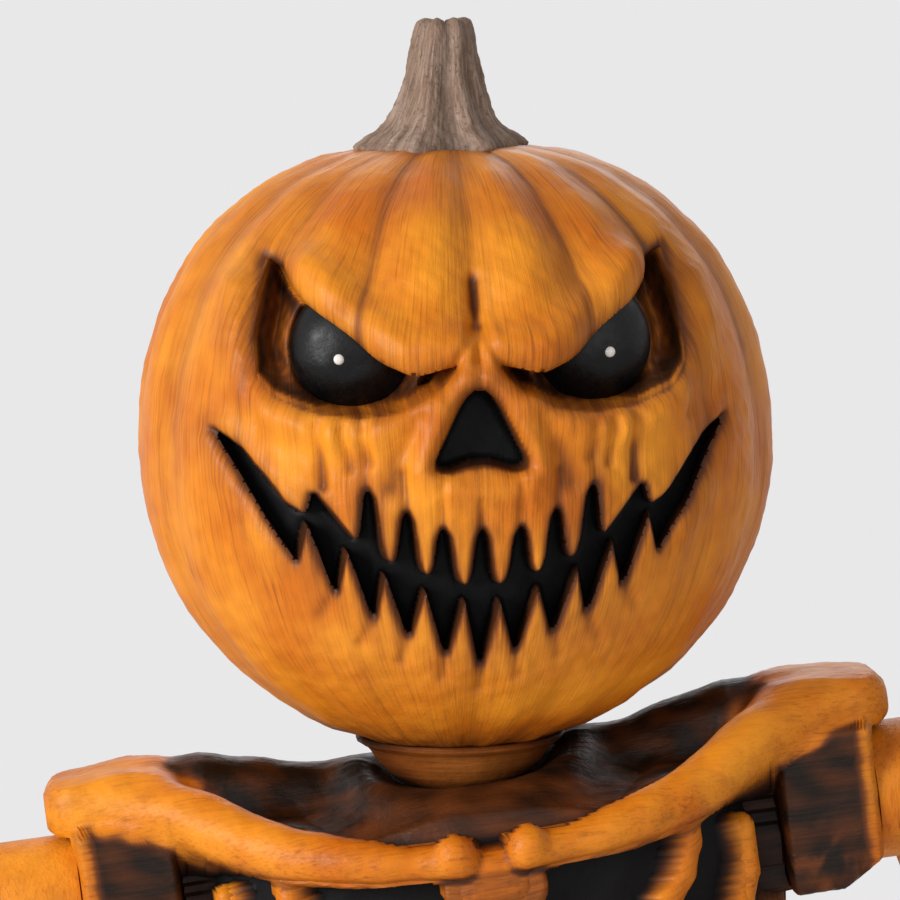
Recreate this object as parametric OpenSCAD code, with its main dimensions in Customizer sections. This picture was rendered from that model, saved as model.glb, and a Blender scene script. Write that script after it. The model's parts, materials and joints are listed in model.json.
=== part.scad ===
// Standing pumpkin-headed skeleton figure, life size, posable.
// Millimetres, +Z up, the face looks along -Y and the figure's left side is +X.
// The origin is on the floor, under the middle of the figure.

/* [Head] */
// Width of the pumpkin head
head_w = 302; // [270:1:330]
// Height of the head above its widest level
head_up = 147; // [135:1:160]
// Height of the head below its widest level
head_down = 145; // [135:1:160]
// Number of lobes round the pumpkin
lobes = 16; // [12:4:20]
// Depth of the grooves between the lobes
groove = 4.5; // [2:0.5:6]
// Wall of the moulded shells
wall = 3; // [2:0.5:4]
// Lean of the head to its left at rest, in degrees
head_lean = 6; // [0:1:8]
// Height of the stem above the crown
stem_h = 66; // [50:1:80]
// Radius of each eyeball
eye_r = 29; // [25:1:31]
// Diameter of each eye's light-emitting diode
led_d = 5; // [3:1:8]
// Depth of the mouth and of the nose
recess = 16; // [10:1:20]

/* [Torso] */
// Distance between the two flat shoulder faces
shoulder_w = 380; // [360:2:430]
// Radius of the round head of each upper arm
drum_r = 33; // [28:1:34]
// Thickness of the round head of each upper arm
drum_t = 46; // [38:1:50]
// Length of the spine seen between pelvis and rib cage
waist_len = 100; // [80:1:130]
// Height of the torso from its base to the collar
torso_h = 330; // [310:1:350]
// Greatest width of the rib cage
chest_w = 284; // [260:1:300]
// Distance from one rib to the next
rib_pitch = 38; // [32:1:50]

/* [Arms] */
// Length from shoulder axis to elbow pin
upper_arm_len = 262; // [230:1:315]
// Length from elbow pin to wrist
forearm_len = 225; // [205:1:250]
// Spread of the arms from the body, in degrees
arm_spread = 8; // [6:1:12]
// Bend of the elbows at rest, in degrees
elbow_bend = 18; // [0:1:30]

/* [Legs] */
// Length from hip axis to knee pin
thigh_len = 390; // [325:1:420]
// Length from knee pin to ankle pin
shin_len = 365; // [330:1:400]
// Height of the ankle pin above the floor
ankle_h = 76; // [70:1:90]
// Distance between the two flat hip faces
hip_w = 120; // [110:1:140]
// Length of each foot
foot_len = 236; // [200:1:250]
// Width of each foot at the toes
foot_w = 88; // [80:1:100]
// Radius of the two ground-stake holes in each foot
stake_r = 4; // [3:0.5:5]

/* [Fits] */
// Radius of the shoulder and hip bolts
bolt_r = 5; // [4:0.5:6]
// Radius of the elbow, knee and ankle pins
pin_r = 4; // [3:0.5:5]
// Radial clearance of a pin or bolt in its bore
run_gap = 0.05; // [0.02:0.01:0.1]
// Clearance between pieces that move past each other
side_gap = 0.6; // [0.4:0.1:1]
// Clearance between pieces that are fixed together
seat_gap = 0.2; // [0.1:0.1:0.3]

/* [Hidden] */
$fn = 48;

// Levels, from the floor up.
knee_z = ankle_h + shin_len;
hip_z = knee_z + thigh_len;
pelvis_top = hip_z + 82;
torso_base = pelvis_top + waist_len - 7;
collar_z = torso_base + torso_h;
shoulder_z = collar_z - 58;
ball_z = collar_z + 15;          // centre on which the head tilts
ball_r = 19;                     // neck ball
ring_t = 3;                      // friction ring round the neck ball
bowl_r = 48.4;                   // outside of the round neck under the head
neck_base = ball_z - bowl_r - 2; // top of the disc that the neck ball stands on
head_drop = head_down - 24;      // from the head's widest level to the neck ball

arm_x = shoulder_w / 2 + side_gap + drum_t / 2;
hip_drum_r = 27;
hip_drum_t = 38;
leg_x = hip_w / 2 + side_gap + hip_drum_t / 2;
ear_t = 8;                       // ears of the elbow, knee and ankle forks
tongue_t = 18;                   // tongues between those ears
joint_r = 17;                    // round ends at elbow and ankle
knee_r = 21;
foot_mid_y = -20;                // middle of the foot, forward of the ankle

eye_x = 53;                      // eyeball centres, in the head's own frame
eye_z = 57;
eye_y = 58 - head_w / 2;
socket_depth = 26;               // depth of the eye sockets
eye_back = eye_y + 31;           // rear end of the tubes that hold the eyes
led_r = led_d / 2;
led_out = 8;                     // light's place on the eyeball, outward and down
led_down = 3;
box_w = 66;                      // battery box, on the back of the head
box_h = 60;
door_t = 3;
post_r = 6;                      // screw posts along the seams

// ---------- shared shapes ----------

// A signed power, for superelliptic outlines.
function spow(v, p) = sign(v) * pow(abs(v), p);

// Exponent of the head's outline: squarer above its widest level than below it.
function squareness(up) = up > 0 ? 2.3 : 2;

// A point of the pumpkin's skin, a given depth under its surface.
// lon runs from -180 to 180 with 0 at the face, lat from -90 to 90.
function pumpkin_point(lon, lat, depth) =
    let(
        n = squareness(lat),
        reach = (head_w / 2 - depth) * pow(cos(lat), 2 / n),
        rise = ((lat > 0 ? head_up : head_down) - depth) * spow(sin(lat), 2 / n),
        cut = groove * (1 - pow(abs(sin(lobes / 2 * lon)), 0.6)) * min(1, reach / 60),
        dimple = 8 * exp(-pow(reach / 34, 2)) * (lat > 0 ? 1 : 0)
    )
    [(reach - cut) * sin(lon), -(reach - cut) * cos(lon), rise - dimple];

// Radius of the head's inner wall at a level, at the bottom of a groove.
function inner_reach(z) =
    let(n = squareness(z), tall = (z > 0 ? head_up : head_down) - wall)
    (head_w / 2 - wall) * pow(1 - pow(abs(z) / tall, n), 1 / n) - groove;

// Level of the crown's outside at a distance from the stem's axis.
function crown(r) =
    let(n = squareness(1), c = pow(2 * r / head_w, n / 2))
    head_up * pow(1 - c * c, 1 / n) - 8 * exp(-pow(r / 34, 2));

// Triangles of one patch of a grid of points, cols + 1 wide and rows + 1 high.
function patch(base, cols, rows, flip) = [
    for (r = [0:rows - 1], c = [0:cols - 1], k = [0, 1])
        let(
            a = base + r * (cols + 1) + c,
            b = a + 1,
            d = a + cols + 1,
            e = d + 1,
            t = k == 0 ? [a, b, e] : [a, e, d]
        )
        flip ? [t[0], t[2], t[1]] : t
];

// Strip of triangles between two lists of point numbers.
function strip(one, two, flip) = [
    for (i = [0:len(one) - 2], k = [0, 1])
        let(t = k == 0 ? [one[i], one[i + 1], two[i + 1]] : [one[i], two[i + 1], two[i]])
        flip ? [t[0], t[2], t[1]] : t
];

// A shell whose outer and inner skins are two grids of points, closed along all four edges.
module grid_shell(outer, inner, cols, rows) {
    skin = (cols + 1) * (rows + 1);
    first = [for (c = [0:cols]) c];
    last = [for (c = [0:cols]) rows * (cols + 1) + c];
    left = [for (r = [0:rows]) r * (cols + 1)];
    right = [for (r = [0:rows]) r * (cols + 1) + cols];
    function under(list) = [for (i = list) i + skin];
    polyhedron(
        points = concat(outer, inner),
        faces = concat(
            patch(0, cols, rows, true),
            patch(skin, cols, rows, false),
            strip(first, under(first), false),
            strip(last, under(last), true),
            strip(left, under(left), true),
            strip(right, under(right), false)
        ),
        convexity = 8
    );
}

// Half of the pumpkin's skin between two depths, open at the neck and at the stem.
module pumpkin_half(lon0, depth0, depth1) {
    cols = lobes * 2;
    rows = 13;
    low = -75.3;
    high = 85;
    function grid(depth) = [
        for (r = [0:rows], c = [0:cols])
            pumpkin_point(lon0 + 180 * c / cols, low + (high - low) * r / rows, depth)
    ];
    grid_shell(grid(depth0), grid(depth1), cols, rows);
}

// Puts head pieces, modelled about the head's middle, onto the neck ball.
module at_head() {
    translate([0, 0, ball_z]) rotate([0, head_lean, 0]) translate([0, 0, head_drop]) children();
}

// The same children on both sides; the right side is the mirror image.
module both_sides() {
    children();
    mirror([1, 0, 0]) children();
}

// Slab in the XZ plane with rounded corners, thick along Y from y0 to y1.
module slab(w, h, y0, y1, r) {
    translate([0, y1, 0]) rotate([90, 0, 0]) linear_extrude(y1 - y0) {
        square([w - 2 * r, h], center = true);
        square([w, h - 2 * r], center = true);
        for (x = [-1, 1], z = [-1, 1]) translate([x * (w / 2 - r), z * (h / 2 - r)]) circle(r, $fn = 24);
    }
}

// A slender bone along -Z, with a narrow middle and wider ends.
module bone(length, r_top, r_mid, r_low) {
    steps = 10;
    function girth(t) = r_mid + (t < 0.5 ? r_top - r_mid : r_low - r_mid) * pow(abs(2 * t - 1), 2.5);
    rotate_extrude() polygon(concat(
        [[0, 0]],
        [for (i = [0:steps]) [girth(i / steps), -length * i / steps]],
        [[0, -length]]
    ));
}

// A cylinder along X, centred on x.
module xcyl(r, length) {
    rotate([0, 90, 0]) cylinder(r = r, h = length, center = true);
}

// A cylinder along Y from y0 to y1.
module ycyl(r, y0, y1) {
    translate([0, y1, 0]) rotate([90, 0, 0]) cylinder(r = r, h = y1 - y0);
}

// A cross-headed screw whose head stands at the origin and whose shank runs along -Z.
module screw(r_head, head_h, r, length) {
    difference() {
        cylinder(r = r_head, h = head_h);
        for (a = [0, 90]) rotate([0, 0, a])
            translate([-r_head * 0.6, -r_head * 0.12, head_h * 0.5]) cube([r_head * 1.2, r_head * 0.24, head_h]);
    }
    translate([0, 0, -length]) cylinder(r = r, h = length);
}

// A screw driven forwards, with its head's underside at y.
module rear_screw(y, length) {
    translate([0, y, 0]) rotate([-90, 0, 0]) screw(4, 2.5, 1.6, length);
}

// ---------- head ----------

// The face, drawn from the front in the head's own frame, for the left half.
upper_lip = [[119, 22], [106, 13], [96, 1], [86, -11], [75, -4], [52, -2], [34, -13], [18, -20], [0, -22]];
lower_lip = [[0, -88], [16, -83], [33, -74], [49, -64], [66, -52], [83, -38], [98, -17], [111, 6]];
upper_teeth = [[8, -47], [25, -42], [41, -36], [57, -26], [80, -14]];
lower_teeth = [[8, -56], [26, -51], [44, -43], [61, -32], [78, -20]];
socket = [
    [93, 100], [99, 82], [101, 62], [99, 45], [90, 37], [72, 31], [52, 30], [34, 33], [19, 41], [10, 52],
    [17, 50], [29, 47], [43, 53], [58, 65], [74, 78]
];
nose = [[0, 39], [9, 36], [14, 23], [19, 9], [17, 5], [9, 7], [0, 10]];

// A list of points with the sides swapped.
function swapped(list) = [for (i = [len(list) - 1:-1:0]) [-list[i][0], list[i][1]]];

module mouth_outline() {
    tooth_r = 4;
    difference() {
        polygon(concat(upper_lip, swapped(upper_lip), swapped(lower_lip), lower_lip));
        for (s = [-1, 1], p = upper_teeth) hull() {
            translate([s * p[0], p[1] + tooth_r]) circle(tooth_r, $fn = 12);
            translate([s * (p[0] - 2), p[1] + 34]) circle(tooth_r + 1, $fn = 12);
        }
        for (s = [-1, 1], i = [0:len(lower_teeth) - 1]) polygon([
            [s * lower_teeth[i][0], lower_teeth[i][1]],
            [s * (lower_lip[i][0] + 3), lower_lip[i][1] + 2],
            [s * (lower_lip[i][0] + 8), lower_lip[i][1] - 14],
            [s * (lower_lip[i + 1][0] - 3), lower_lip[i + 1][1] + 2]
        ]);
    }
}

module socket_outline() {
    for (s = [0, 1]) mirror([s, 0]) polygon(socket);
}

module nose_outline() {
    polygon(concat(nose, swapped(nose)));
}

// Extrudes an outline of the face from y0 to y1.
module through_face(y0, y1) {
    translate([0, y1, 0]) rotate([90, 0, 0]) linear_extrude(y1 - y0) children();
}

// A pocket of the face, or with a margin the walls and floor round it.
module pocket(depth, margin) {
    intersection() {
        through_face(-head_w, -20) offset(delta = margin) children();
        pumpkin_half(-90, margin > 0 ? 0.5 : -8, depth + margin);
    }
}

// Screw posts of the seam as [side, level].
head_posts = [[-1, 66], [1, 66], [-1, -72], [1, -72]];

module at_head_posts() {
    for (p = head_posts) translate([p[0] * (inner_reach(p[1]) - post_r + 2), 0, p[1]]) children();
}

module head_front_shell() {
    color("darkorange") at_head() difference() {
        union() {
            pumpkin_half(-90, 0, wall);
            pocket(recess, wall) mouth_outline();
            pocket(recess, wall) nose_outline();
            pocket(socket_depth, wall) socket_outline();
            both_sides() intersection() {
                translate([eye_x, 0, eye_z]) ycyl(eye_r + wall, -head_w / 2, eye_back);
                pumpkin_half(-90, socket_depth, 100);
            }
            at_head_posts() ycyl(post_r, -14, -seat_gap, $fn = 20);
        }
        pocket(recess, 0) mouth_outline();
        pocket(recess, 0) nose_outline();
        pocket(socket_depth, 0) socket_outline();
        both_sides() intersection() {
            translate([eye_x, 0, eye_z]) ycyl(eye_r + seat_gap, -head_w / 2, 0);
            pumpkin_half(-90, wall + 1, 120);
        }
        both_sides() translate([eye_x, 0, eye_z]) {
            translate([0, eye_y, 0]) sphere(eye_r + seat_gap);
            ycyl(eye_r + wall + seat_gap, eye_back, eye_back + flange_t + seat_gap);
        }
        at_head_posts() ycyl(1.8, -12, 1, $fn = 12);
    }
}

module head_rear_shell() {
    color("darkorange") at_head() difference() {
        union() {
            pumpkin_half(90, 0, wall);
            at_head_posts() ycyl(post_r, 0, 14, $fn = 20);
        }
        in_box() slab(box_w + 2 * seat_gap, box_h + 2 * seat_gap, -box_deep, 20, 4);
        at_head_posts() {
            ycyl(2.2, -1, 100, $fn = 12);
            ycyl(4.6, 8, 100, $fn = 20);
        }
    }
}

module head_screws() {
    color("silver") at_head() at_head_posts() rear_screw(8 + seat_gap, 18);
}

stem_base = crown(0);            // level of the dimple's floor in the crown
stem_r = 36;
stem_peg_r = 9;
peg_end = crown(stem_peg_r * 2) - wall - 0.5;

module stem() {
    color("rosybrown") at_head() difference() {
        union() {
            rotate_extrude() polygon(concat(
                [for (r = [0:stem_r / 6:stem_r]) [r, crown(r) + 0.3]],
                [for (p = [[34, 8], [26, 18], [21, 32], [18, 46], [16, stem_h - 3], [12, stem_h], [0, stem_h]])
                    [p[0], stem_base + p[1]]]
            ));
            translate([0, 0, peg_end]) cylinder(r = stem_peg_r, h = stem_base + 2 - peg_end);
        }
        translate([0, 0, peg_end - 1]) cylinder(r = 1.8, h = 20);
    }
}

module stem_screw() {
    color("silver") at_head() translate([0, 0, peg_end - seat_gap]) mirror([0, 0, 1]) screw(24, 3, 1.6, 17);
}

flange_t = 2.5;                  // rim behind each eye's tube

// An eyeball with a skirt and a rim, bored for its light; side is 1 or -1.
module eye(side) {
    color("black") at_head() translate([side * eye_x, 0, eye_z]) difference() {
        union() {
            translate([0, eye_y, 0]) sphere(r = eye_r);
            ycyl(eye_r, eye_y, eye_back + 1);
            ycyl(eye_r + wall, eye_back + seat_gap, eye_back + flange_t);
        }
        translate([side * led_out, 0, -led_down]) ycyl(led_r + run_gap, eye_y - 40, 0);
        translate([0, 4, 0]) ycyl(eye_r - 8, eye_y, 0);
    }
}

// A light with a domed tip that stands just proud of the eyeball, and a collar behind.
module eye_led(side) {
    tip_y = eye_y - sqrt(pow(eye_r, 2) - pow(led_out, 2) - pow(led_down, 2));
    color("white") at_head() translate([side * (eye_x + led_out), 0, eye_z - led_down]) {
        translate([0, tip_y, 0]) sphere(r = led_r);
        ycyl(led_r, tip_y, light_end);
        ycyl(led_r + 1, eye_y + 4 + seat_gap, eye_y + 5.5);
    }
}

// Round tube along a list of points, with eight sides.
module tube(points, r) {
    sides = 8;
    n = len(points);
    function unit(v) = v / norm(v);
    function heading(i) = unit(points[min(i + 1, n - 1)] - points[max(i - 1, 0)]);
    function across(i) = unit(cross(heading(i), [0.31, 0.12, 1]));
    function over(i) = cross(heading(i), across(i));
    polyhedron(
        points = [for (i = [0:n - 1], k = [0:sides - 1])
            points[i] + r * (cos(360 * k / sides) * across(i) + sin(360 * k / sides) * over(i))],
        faces = concat(
            [[for (k = [0:sides - 1]) k]],
            [for (i = [0:n - 2], k = [0:sides - 1], h = [0, 1])
                let(a = i * sides + k, b = i * sides + (k + 1) % sides)
                h == 0 ? [a, a + sides, b + sides] : [a, b + sides, b]],
            [[for (k = [sides - 1:-1:0]) (n - 1) * sides + k]]
        )
    );
}

box_deep = 34;
box_tilt = 20;                   // the box faces a little downward
cell_r = 7.2;

// Puts pieces of the head's frame into that of the battery box: outer face at y = 0, +Y outwards.
module in_box() {
    rotate([-box_tilt, 0, 0]) translate([0, head_w / 2, 0]) children();
}

module at_box() {
    at_head() in_box() children();
}

// A point of the box's frame in the head's frame.
function in_head(p) = let(y = p[1] + head_w / 2) [
    p[0],
    y * cos(box_tilt) + p[2] * sin(box_tilt),
    p[2] * cos(box_tilt) - y * sin(box_tilt)
];

wire_r = 1.5;
wire_sag = 26;
light_end = eye_y + 8;           // rear end of each light

// Each lead runs straight out of its eye's tube, then sags from there to the battery box.
module led_wires() {
    start = [eye_x + led_out, light_end + seat_gap, eye_z - led_down];
    turn = [start[0], eye_back + flange_t, start[2]];
    end = in_head([14, -box_deep - seat_gap - 1, 12]);
    color("firebrick") at_head() for (s = [-1, 1])
        tube(concat(
            [[s * start[0], start[1], start[2]]],
            [for (i = [0:10]) let(t = i / 10, p = turn + (end - turn) * t)
                [s * p[0], p[1], p[2] - wire_sag * sin(180 * t)]]
        ), wire_r);
}

door_w = box_w - 12;
door_h = box_h - 20;
door_up = 6;                     // middle of the door above the middle of the box
switch_z = -box_h / 2 + 6;

module battery_box() {
    color("dimgray") at_box() difference() {
        slab(box_w, box_h, -box_deep, 0, 4);
        translate([0, 0, door_up]) slab(door_w, door_h, 3 - box_deep, 1, 2);
        translate([0, 0, door_up]) slab(door_w + 4 + 2 * seat_gap, door_h + 4 + 2 * seat_gap, -door_t, 1, 2);
        translate([0, 0, switch_z]) slab(14, 5, -4, 1, 1);
    }
}

module battery_cells() {
    color("seagreen") at_box() translate([0, 3 - box_deep + cell_r + seat_gap, door_up])
        for (z = [-1, 1]) translate([0, 0, z * (cell_r + 0.5)]) xcyl(cell_r, 50.5);
}

module battery_door() {
    color("dimgray") at_box() translate([0, 0, door_up])
        slab(door_w + 4, door_h + 4, seat_gap - door_t, 1, 2);
}

knob_travel = 4;

module switch_knob() {
    color("black") at_box() translate([-knob_travel / 2, 0, switch_z]) slab(6, 4.4, 0.1 - 4, 2.5, 0.8);
}

// ---------- neck ----------

cup_r = 34.4;
cup_base = -18.2;                // lower end of the cup, from the ball's centre
cup_low = -15;                   // foot of its flange, on the inside of the head
cup_high = -10;
facet_sag = 2;                   // how far the shell's inner facets lie inside its curve

// Socket in the base of the head that grips the friction ring.
module neck_cup() {
    color("dimgray") at_head() translate([0, 0, -head_drop]) difference() {
        union() {
            translate([0, 0, cup_base]) cylinder(r = cup_r, h = 35);
            translate([0, 0, cup_low]) cylinder(
                r1 = inner_reach(cup_low - head_drop) - facet_sag - seat_gap,
                r2 = inner_reach(cup_high - head_drop) - facet_sag - seat_gap,
                h = cup_high - cup_low
            );
        }
        sphere(r = ball_r + ring_t + 2 * run_gap);
        translate([0, 0, -30]) cylinder(r1 = 30, r2 = 17, h = 20);
    }
}

bowl_hole = 24;                  // opening for the neck ball's stem
bowl_wall = 4;
bowl_top = -20;                  // the bowl's edge, just under the lip of the head

// Round neck under the head; it turns in the torso's collar as the head tilts.
module neck_bowl() {
    low = -sqrt(pow(bowl_r, 2) - pow(bowl_hole, 2));
    color("saddlebrown") at_head() translate([0, 0, -head_drop]) rotate_extrude() {
        intersection() {
            difference() {
                circle(bowl_r, $fn = 64);
                circle(bowl_r - bowl_wall, $fn = 64);
            }
            translate([bowl_hole, low]) square([bowl_r, bowl_top - low]);
        }
        translate([bowl_hole, bowl_top - 3]) square([bowl_r - bowl_hole - 6, 3]);
        translate([bowl_hole, bowl_top - 3]) square([cup_r + 1 - bowl_hole, cup_base - seat_gap - bowl_top + 3]);
    }
}

module neck_friction_ring() {
    inner = ball_r + run_gap;
    outer = ball_r + ring_t + run_gap;
    color("gainsboro") translate([0, 0, ball_z]) rotate_extrude() intersection() {
        difference() {
            circle(outer, $fn = 64);
            circle(inner, $fn = 64);
        }
        translate([0, -5]) square([outer + 1, 16]);
    }
}

module neck_ball() {
    stem_low = neck_base - ball_z + seat_gap;
    color("silver") translate([0, 0, ball_z]) {
        sphere(r = ball_r);
        translate([0, 0, stem_low]) cylinder(r = 9, h = -stem_low - 12);
    }
}

disc_t = 6;                      // disc that the neck ball stands on
peg_r = 20;                      // peg that turns in the neck socket
barrel_r = 30;                   // neck socket's barrel and flange
barrel_h = 26;
flange_r = 46;
flange_h = 8;
socket_top = neck_base - disc_t - side_gap;
peg_low = socket_top - barrel_h - 0.8;

module neck_post() {
    color("saddlebrown") difference() {
        union() {
            translate([0, 0, neck_base - disc_t]) cylinder(r = 28, h = disc_t);
            translate([0, 0, peg_low]) cylinder(r = peg_r, h = neck_base - peg_low - 1);
        }
        translate([0, 0, peg_low - 1]) cylinder(r = 5, h = 20);
    }
}

module neck_socket() {
    color("dimgray") translate([0, 0, socket_top]) difference() {
        union() {
            translate([0, 0, -barrel_h]) cylinder(r = barrel_r, h = barrel_h);
            translate([0, 0, -flange_h]) cylinder(r = flange_r, h = flange_h);
        }
        translate([0, 0, -barrel_h - 1]) cylinder(r = peg_r + run_gap, h = barrel_h + 2);
    }
}

module neck_screw() {
    color("silver") translate([0, 0, peg_low - seat_gap]) mirror([0, 0, 1]) screw(26, 3, 4.9, 15);
}

// ---------- torso ----------

// Half-width and depth of the rib cage against height above its base, as parts of their greatest.
cage_width = [
    [0, 0.5], [14, 0.66], [50, 0.85], [100, 0.96], [160, 1], [215, 0.97], [262, 0.84], [300, 0.58], [312, 0.44]
];
cage_depth = [
    [0, 0.5], [14, 0.66], [50, 0.86], [100, 0.98], [160, 1], [215, 0.95], [262, 0.86], [300, 0.7], [312, 0.62]
];
chest_front = 94;                // greatest depth before and behind the shoulder axis
chest_back = 92;
rib_relief = 6;
rib_drop = 34;                   // fall of each rib from the side of the body to its front

// Relief of the ribs and of the breastbone: 1 on a rib, 0 between ribs.
function relief(lon, z) =
    let(
        level = z + rib_drop * (abs(lon) < 90 ? cos(lon) : 0.4 * cos(lon)),
        rib = max(0, min(1, 0.5 + 1.3 * sin(360 * level / rib_pitch))),
        mid = abs(lon) < 90 ? max(0, 1.4 - abs(lon) / 9) : max(0, 1.4 - (180 - abs(lon)) / 9)
    )
    z < 16 || z > 285 ? 0 : min(1, max(rib, mid));

// A point of the rib cage's skin at angle lon from the front and z above its base.
function cage_point(lon, z, depth, ribbed) =
    let(
        out = (ribbed ? rib_relief * relief(lon, z) : 0) - depth,
        w = chest_w / 2 * lookup(z, cage_width) - rib_relief + out,
        d = (abs(lon) <= 90 ? chest_front : chest_back) * lookup(z, cage_depth) - rib_relief + out
    )
    [w * spow(sin(lon), 0.9), -d * spow(cos(lon), 0.9), torso_base + z];

module cage_half(lon0) {
    cols = 18;
    rows = 34;
    top = torso_h - 18;
    function grid(depth, ribbed) = [
        for (r = [0:rows], c = [0:cols]) cage_point(lon0 + 180 * c / cols, top * r / rows, depth, ribbed)
    ];
    grid_shell(grid(0, true), grid(wall, false), cols, rows);
}

floor_hole = 22;

// Plate across the base of the rib cage; the spine passes through it.
module cage_floor() {
    rx = chest_w / 4 - rib_relief - 1;
    ry = chest_back / 2 - rib_relief - 1;
    translate([0, 0, torso_base]) difference() {
        linear_extrude(wall) scale([rx, ry]) circle(1);
        translate([0, 0, -1]) cylinder(r = floor_hole + seat_gap, h = wall + 2);
    }
}

// Round-ended bar between two points.
module bar(a, b, ra, rb) {
    hull() {
        translate(a) sphere(ra, $fn = 12);
        translate(b) sphere(rb, $fn = 12);
    }
}

// The left collar bone from breastbone to shoulder: side, depth, height over the collar, radius.
clavicle = [[22, -86, -48, 10], [60, -80, -44, 12], [98, -58, -33, 12], [130, -36, -21, 12], [190, -10, -10, 13]];

module collar_bone() {
    for (i = [0:len(clavicle) - 2]) let(p = clavicle[i], q = clavicle[i + 1])
        bar([p[0], p[1], collar_z + p[2]], [q[0], q[1], collar_z + q[2]], p[3], q[3]);
}

block_x = 126;                   // where the shoulder blocks leave the rib cage
block_d = 37;                    // half the depth of a block's flat outer face

// Left shoulder block with a flat outer face; the arm turns against it.
module shoulder_block() {
    half = shoulder_w / 2;
    hull() {
        translate([half - 3, -block_d, shoulder_z - block_d - 3]) cube([3, 2 * block_d, 2 * block_d + 8]);
        translate([block_x - 20, -block_d - 8, shoulder_z - block_d - 18]) cube([8, 2 * block_d + 16, 2 * block_d + 26]);
    }
}

// Ledge over the upper arm and the slope from it to the neck.
module shoulder_slope() {
    half = shoulder_w / 2;
    hull() {
        translate([half - 4, 22, collar_z - 4]) sphere(11, $fn = 12);
        translate([half - 4, -6, collar_z - 6]) sphere(12, $fn = 12);
        translate([block_x - 20, 40, shoulder_z]) sphere(14, $fn = 12);
        translate([block_x - 20, -40, shoulder_z + 6]) sphere(14, $fn = 12);
        translate([collar_r, 0, collar_z - 24]) sphere(10, $fn = 12);
    }
}

collar_r = 56;
collar_top = collar_z - 11;

// Solid ring at the top of the torso that carries the neck socket; it is lower in front.
module collar_ring() {
    difference() {
        translate([0, 0, socket_top - flange_h - 10]) cylinder(
            r = collar_r, h = collar_top - socket_top + flange_h + 10
        );
        translate([0, -collar_r, collar_top - 15]) rotate([15, 0, 0])
            translate([0, 0, 50]) cube([2 * collar_r, 100, 100], center = true);
    }
}

// Cavities of the torso: the hollow shoulders and the places of the hubs, bolts and neck.
module torso_cutters() {
    half = shoulder_w / 2;
    solid_t = hub_t + 8;
    both_sides() translate([block_x - 16, -block_d + 1, shoulder_z - block_d + 3])
        cube([half - solid_t - block_x + 16, 2 * block_d - 2, 2 * block_d - 6]);
    both_sides() translate([0, 0, shoulder_z]) {
        translate([half - hub_t / 2, 0, 0]) xcyl(hub_r + seat_gap, hub_t + 2 * seat_gap);
        translate([half + 1, 0, 0]) xcyl(hub_r + seat_gap, 3);
        translate([half - 40, 0, 0]) xcyl(14, 60);
    }
    translate([0, 0, socket_top - flange_h - seat_gap]) cylinder(r = flange_r + seat_gap, h = 100);
    translate([0, 0, socket_top - 60]) cylinder(r = barrel_r + seat_gap, h = 100);
    translate([0, 0, socket_top]) cylinder(r = bowl_r + 1, h = 100);
    both_sides() translate([half + 60, 0, shoulder_z]) xcyl(drum_r + side_gap, 120);
}

// Screw posts of the torso seam, as [side, height above the base].
torso_posts = [[-1, 60], [1, 60], [-1, 200], [1, 200]];

module at_torso_posts() {
    for (p = torso_posts) translate([
        p[0] * (chest_w / 2 * lookup(p[1], cage_width) - rib_relief - wall - post_r + 1.5), 0, torso_base + p[1]
    ]) children();
}

// Everything that both halves of the torso share before they are parted at the seam.
module torso_solids() {
    cage_floor();
    collar_ring();
    both_sides() {
        shoulder_block();
        shoulder_slope();
        collar_bone();
    }
}

// The far side of the seam, taken away from one half of the torso.
module beyond_seam(side) {
    translate([-300, side > 0 ? 0 : -300, torso_base - 50]) cube([600, 300, 600]);
}

module torso_front_shell() {
    color("darkorange") difference() {
        union() {
            cage_half(-90);
            torso_solids();
            at_torso_posts() ycyl(post_r, -20, 0, $fn = 20);
        }
        torso_cutters();
        beyond_seam(1);
        at_torso_posts() ycyl(1.8, -17, 1, $fn = 12);
    }
}

module torso_rear_shell() {
    color("darkorange") difference() {
        union() {
            cage_half(90);
            torso_solids();
            at_torso_posts() ycyl(post_r, 0, 20, $fn = 20);
        }
        torso_cutters();
        beyond_seam(-1);
        at_torso_posts() {
            ycyl(2.2, -1, 100, $fn = 12);
            ycyl(4.6, 12, 100, $fn = 20);
        }
    }
}

module torso_screws() {
    color("silver") at_torso_posts() rear_screw(12 + seat_gap, 26);
}

hub_r = 26;
hub_t = 24;

module shoulder_hubs() {
    color("dimgray") both_sides() translate([shoulder_w / 2 - hub_t / 2, 0, shoulder_z]) difference() {
        xcyl(hub_r, hub_t);
        xcyl(bolt_r + run_gap, hub_t + 2);
    }
}

// Bolt through a limb's round head, with its own head outside and its nut inside the hub.
module joint_bolt(face_x, drum, hub, z) {
    outer = face_x + side_gap + drum - 6;
    inner = face_x - hub;
    translate([outer, 0, z]) rotate([0, 90, 0]) difference() {
        cylinder(r = 10, h = 5);
        translate([0, 0, 2]) cylinder(r = 5, h = 4, $fn = 6);
    }
    translate([(inner + outer) / 2, 0, z]) xcyl(bolt_r, outer - inner);
    translate([inner - 5, 0, z]) rotate([0, 90, 0]) cylinder(r = 9, h = 5, $fn = 6);
}

module shoulder_bolts() {
    color("silver") both_sides() joint_bolt(shoulder_w / 2, drum_t, hub_t + seat_gap, shoulder_z);
}

// ---------- spine and pelvis ----------

rod_r = 9;
rod_collar = 54;                 // height of the rod's collar above the base of the torso

// Bearing in the floor of the rib cage; the torso turns on the spine rod.
module waist_socket() {
    color("dimgray") translate([0, 0, torso_base]) difference() {
        union() {
            translate([0, 0, wall + seat_gap]) cylinder(r = 34, h = 6);
            cylinder(r = floor_hole, h = rod_collar - 4);
        }
        translate([0, 0, -1]) cylinder(r = rod_r + run_gap, h = rod_collar);
    }
}

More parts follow.
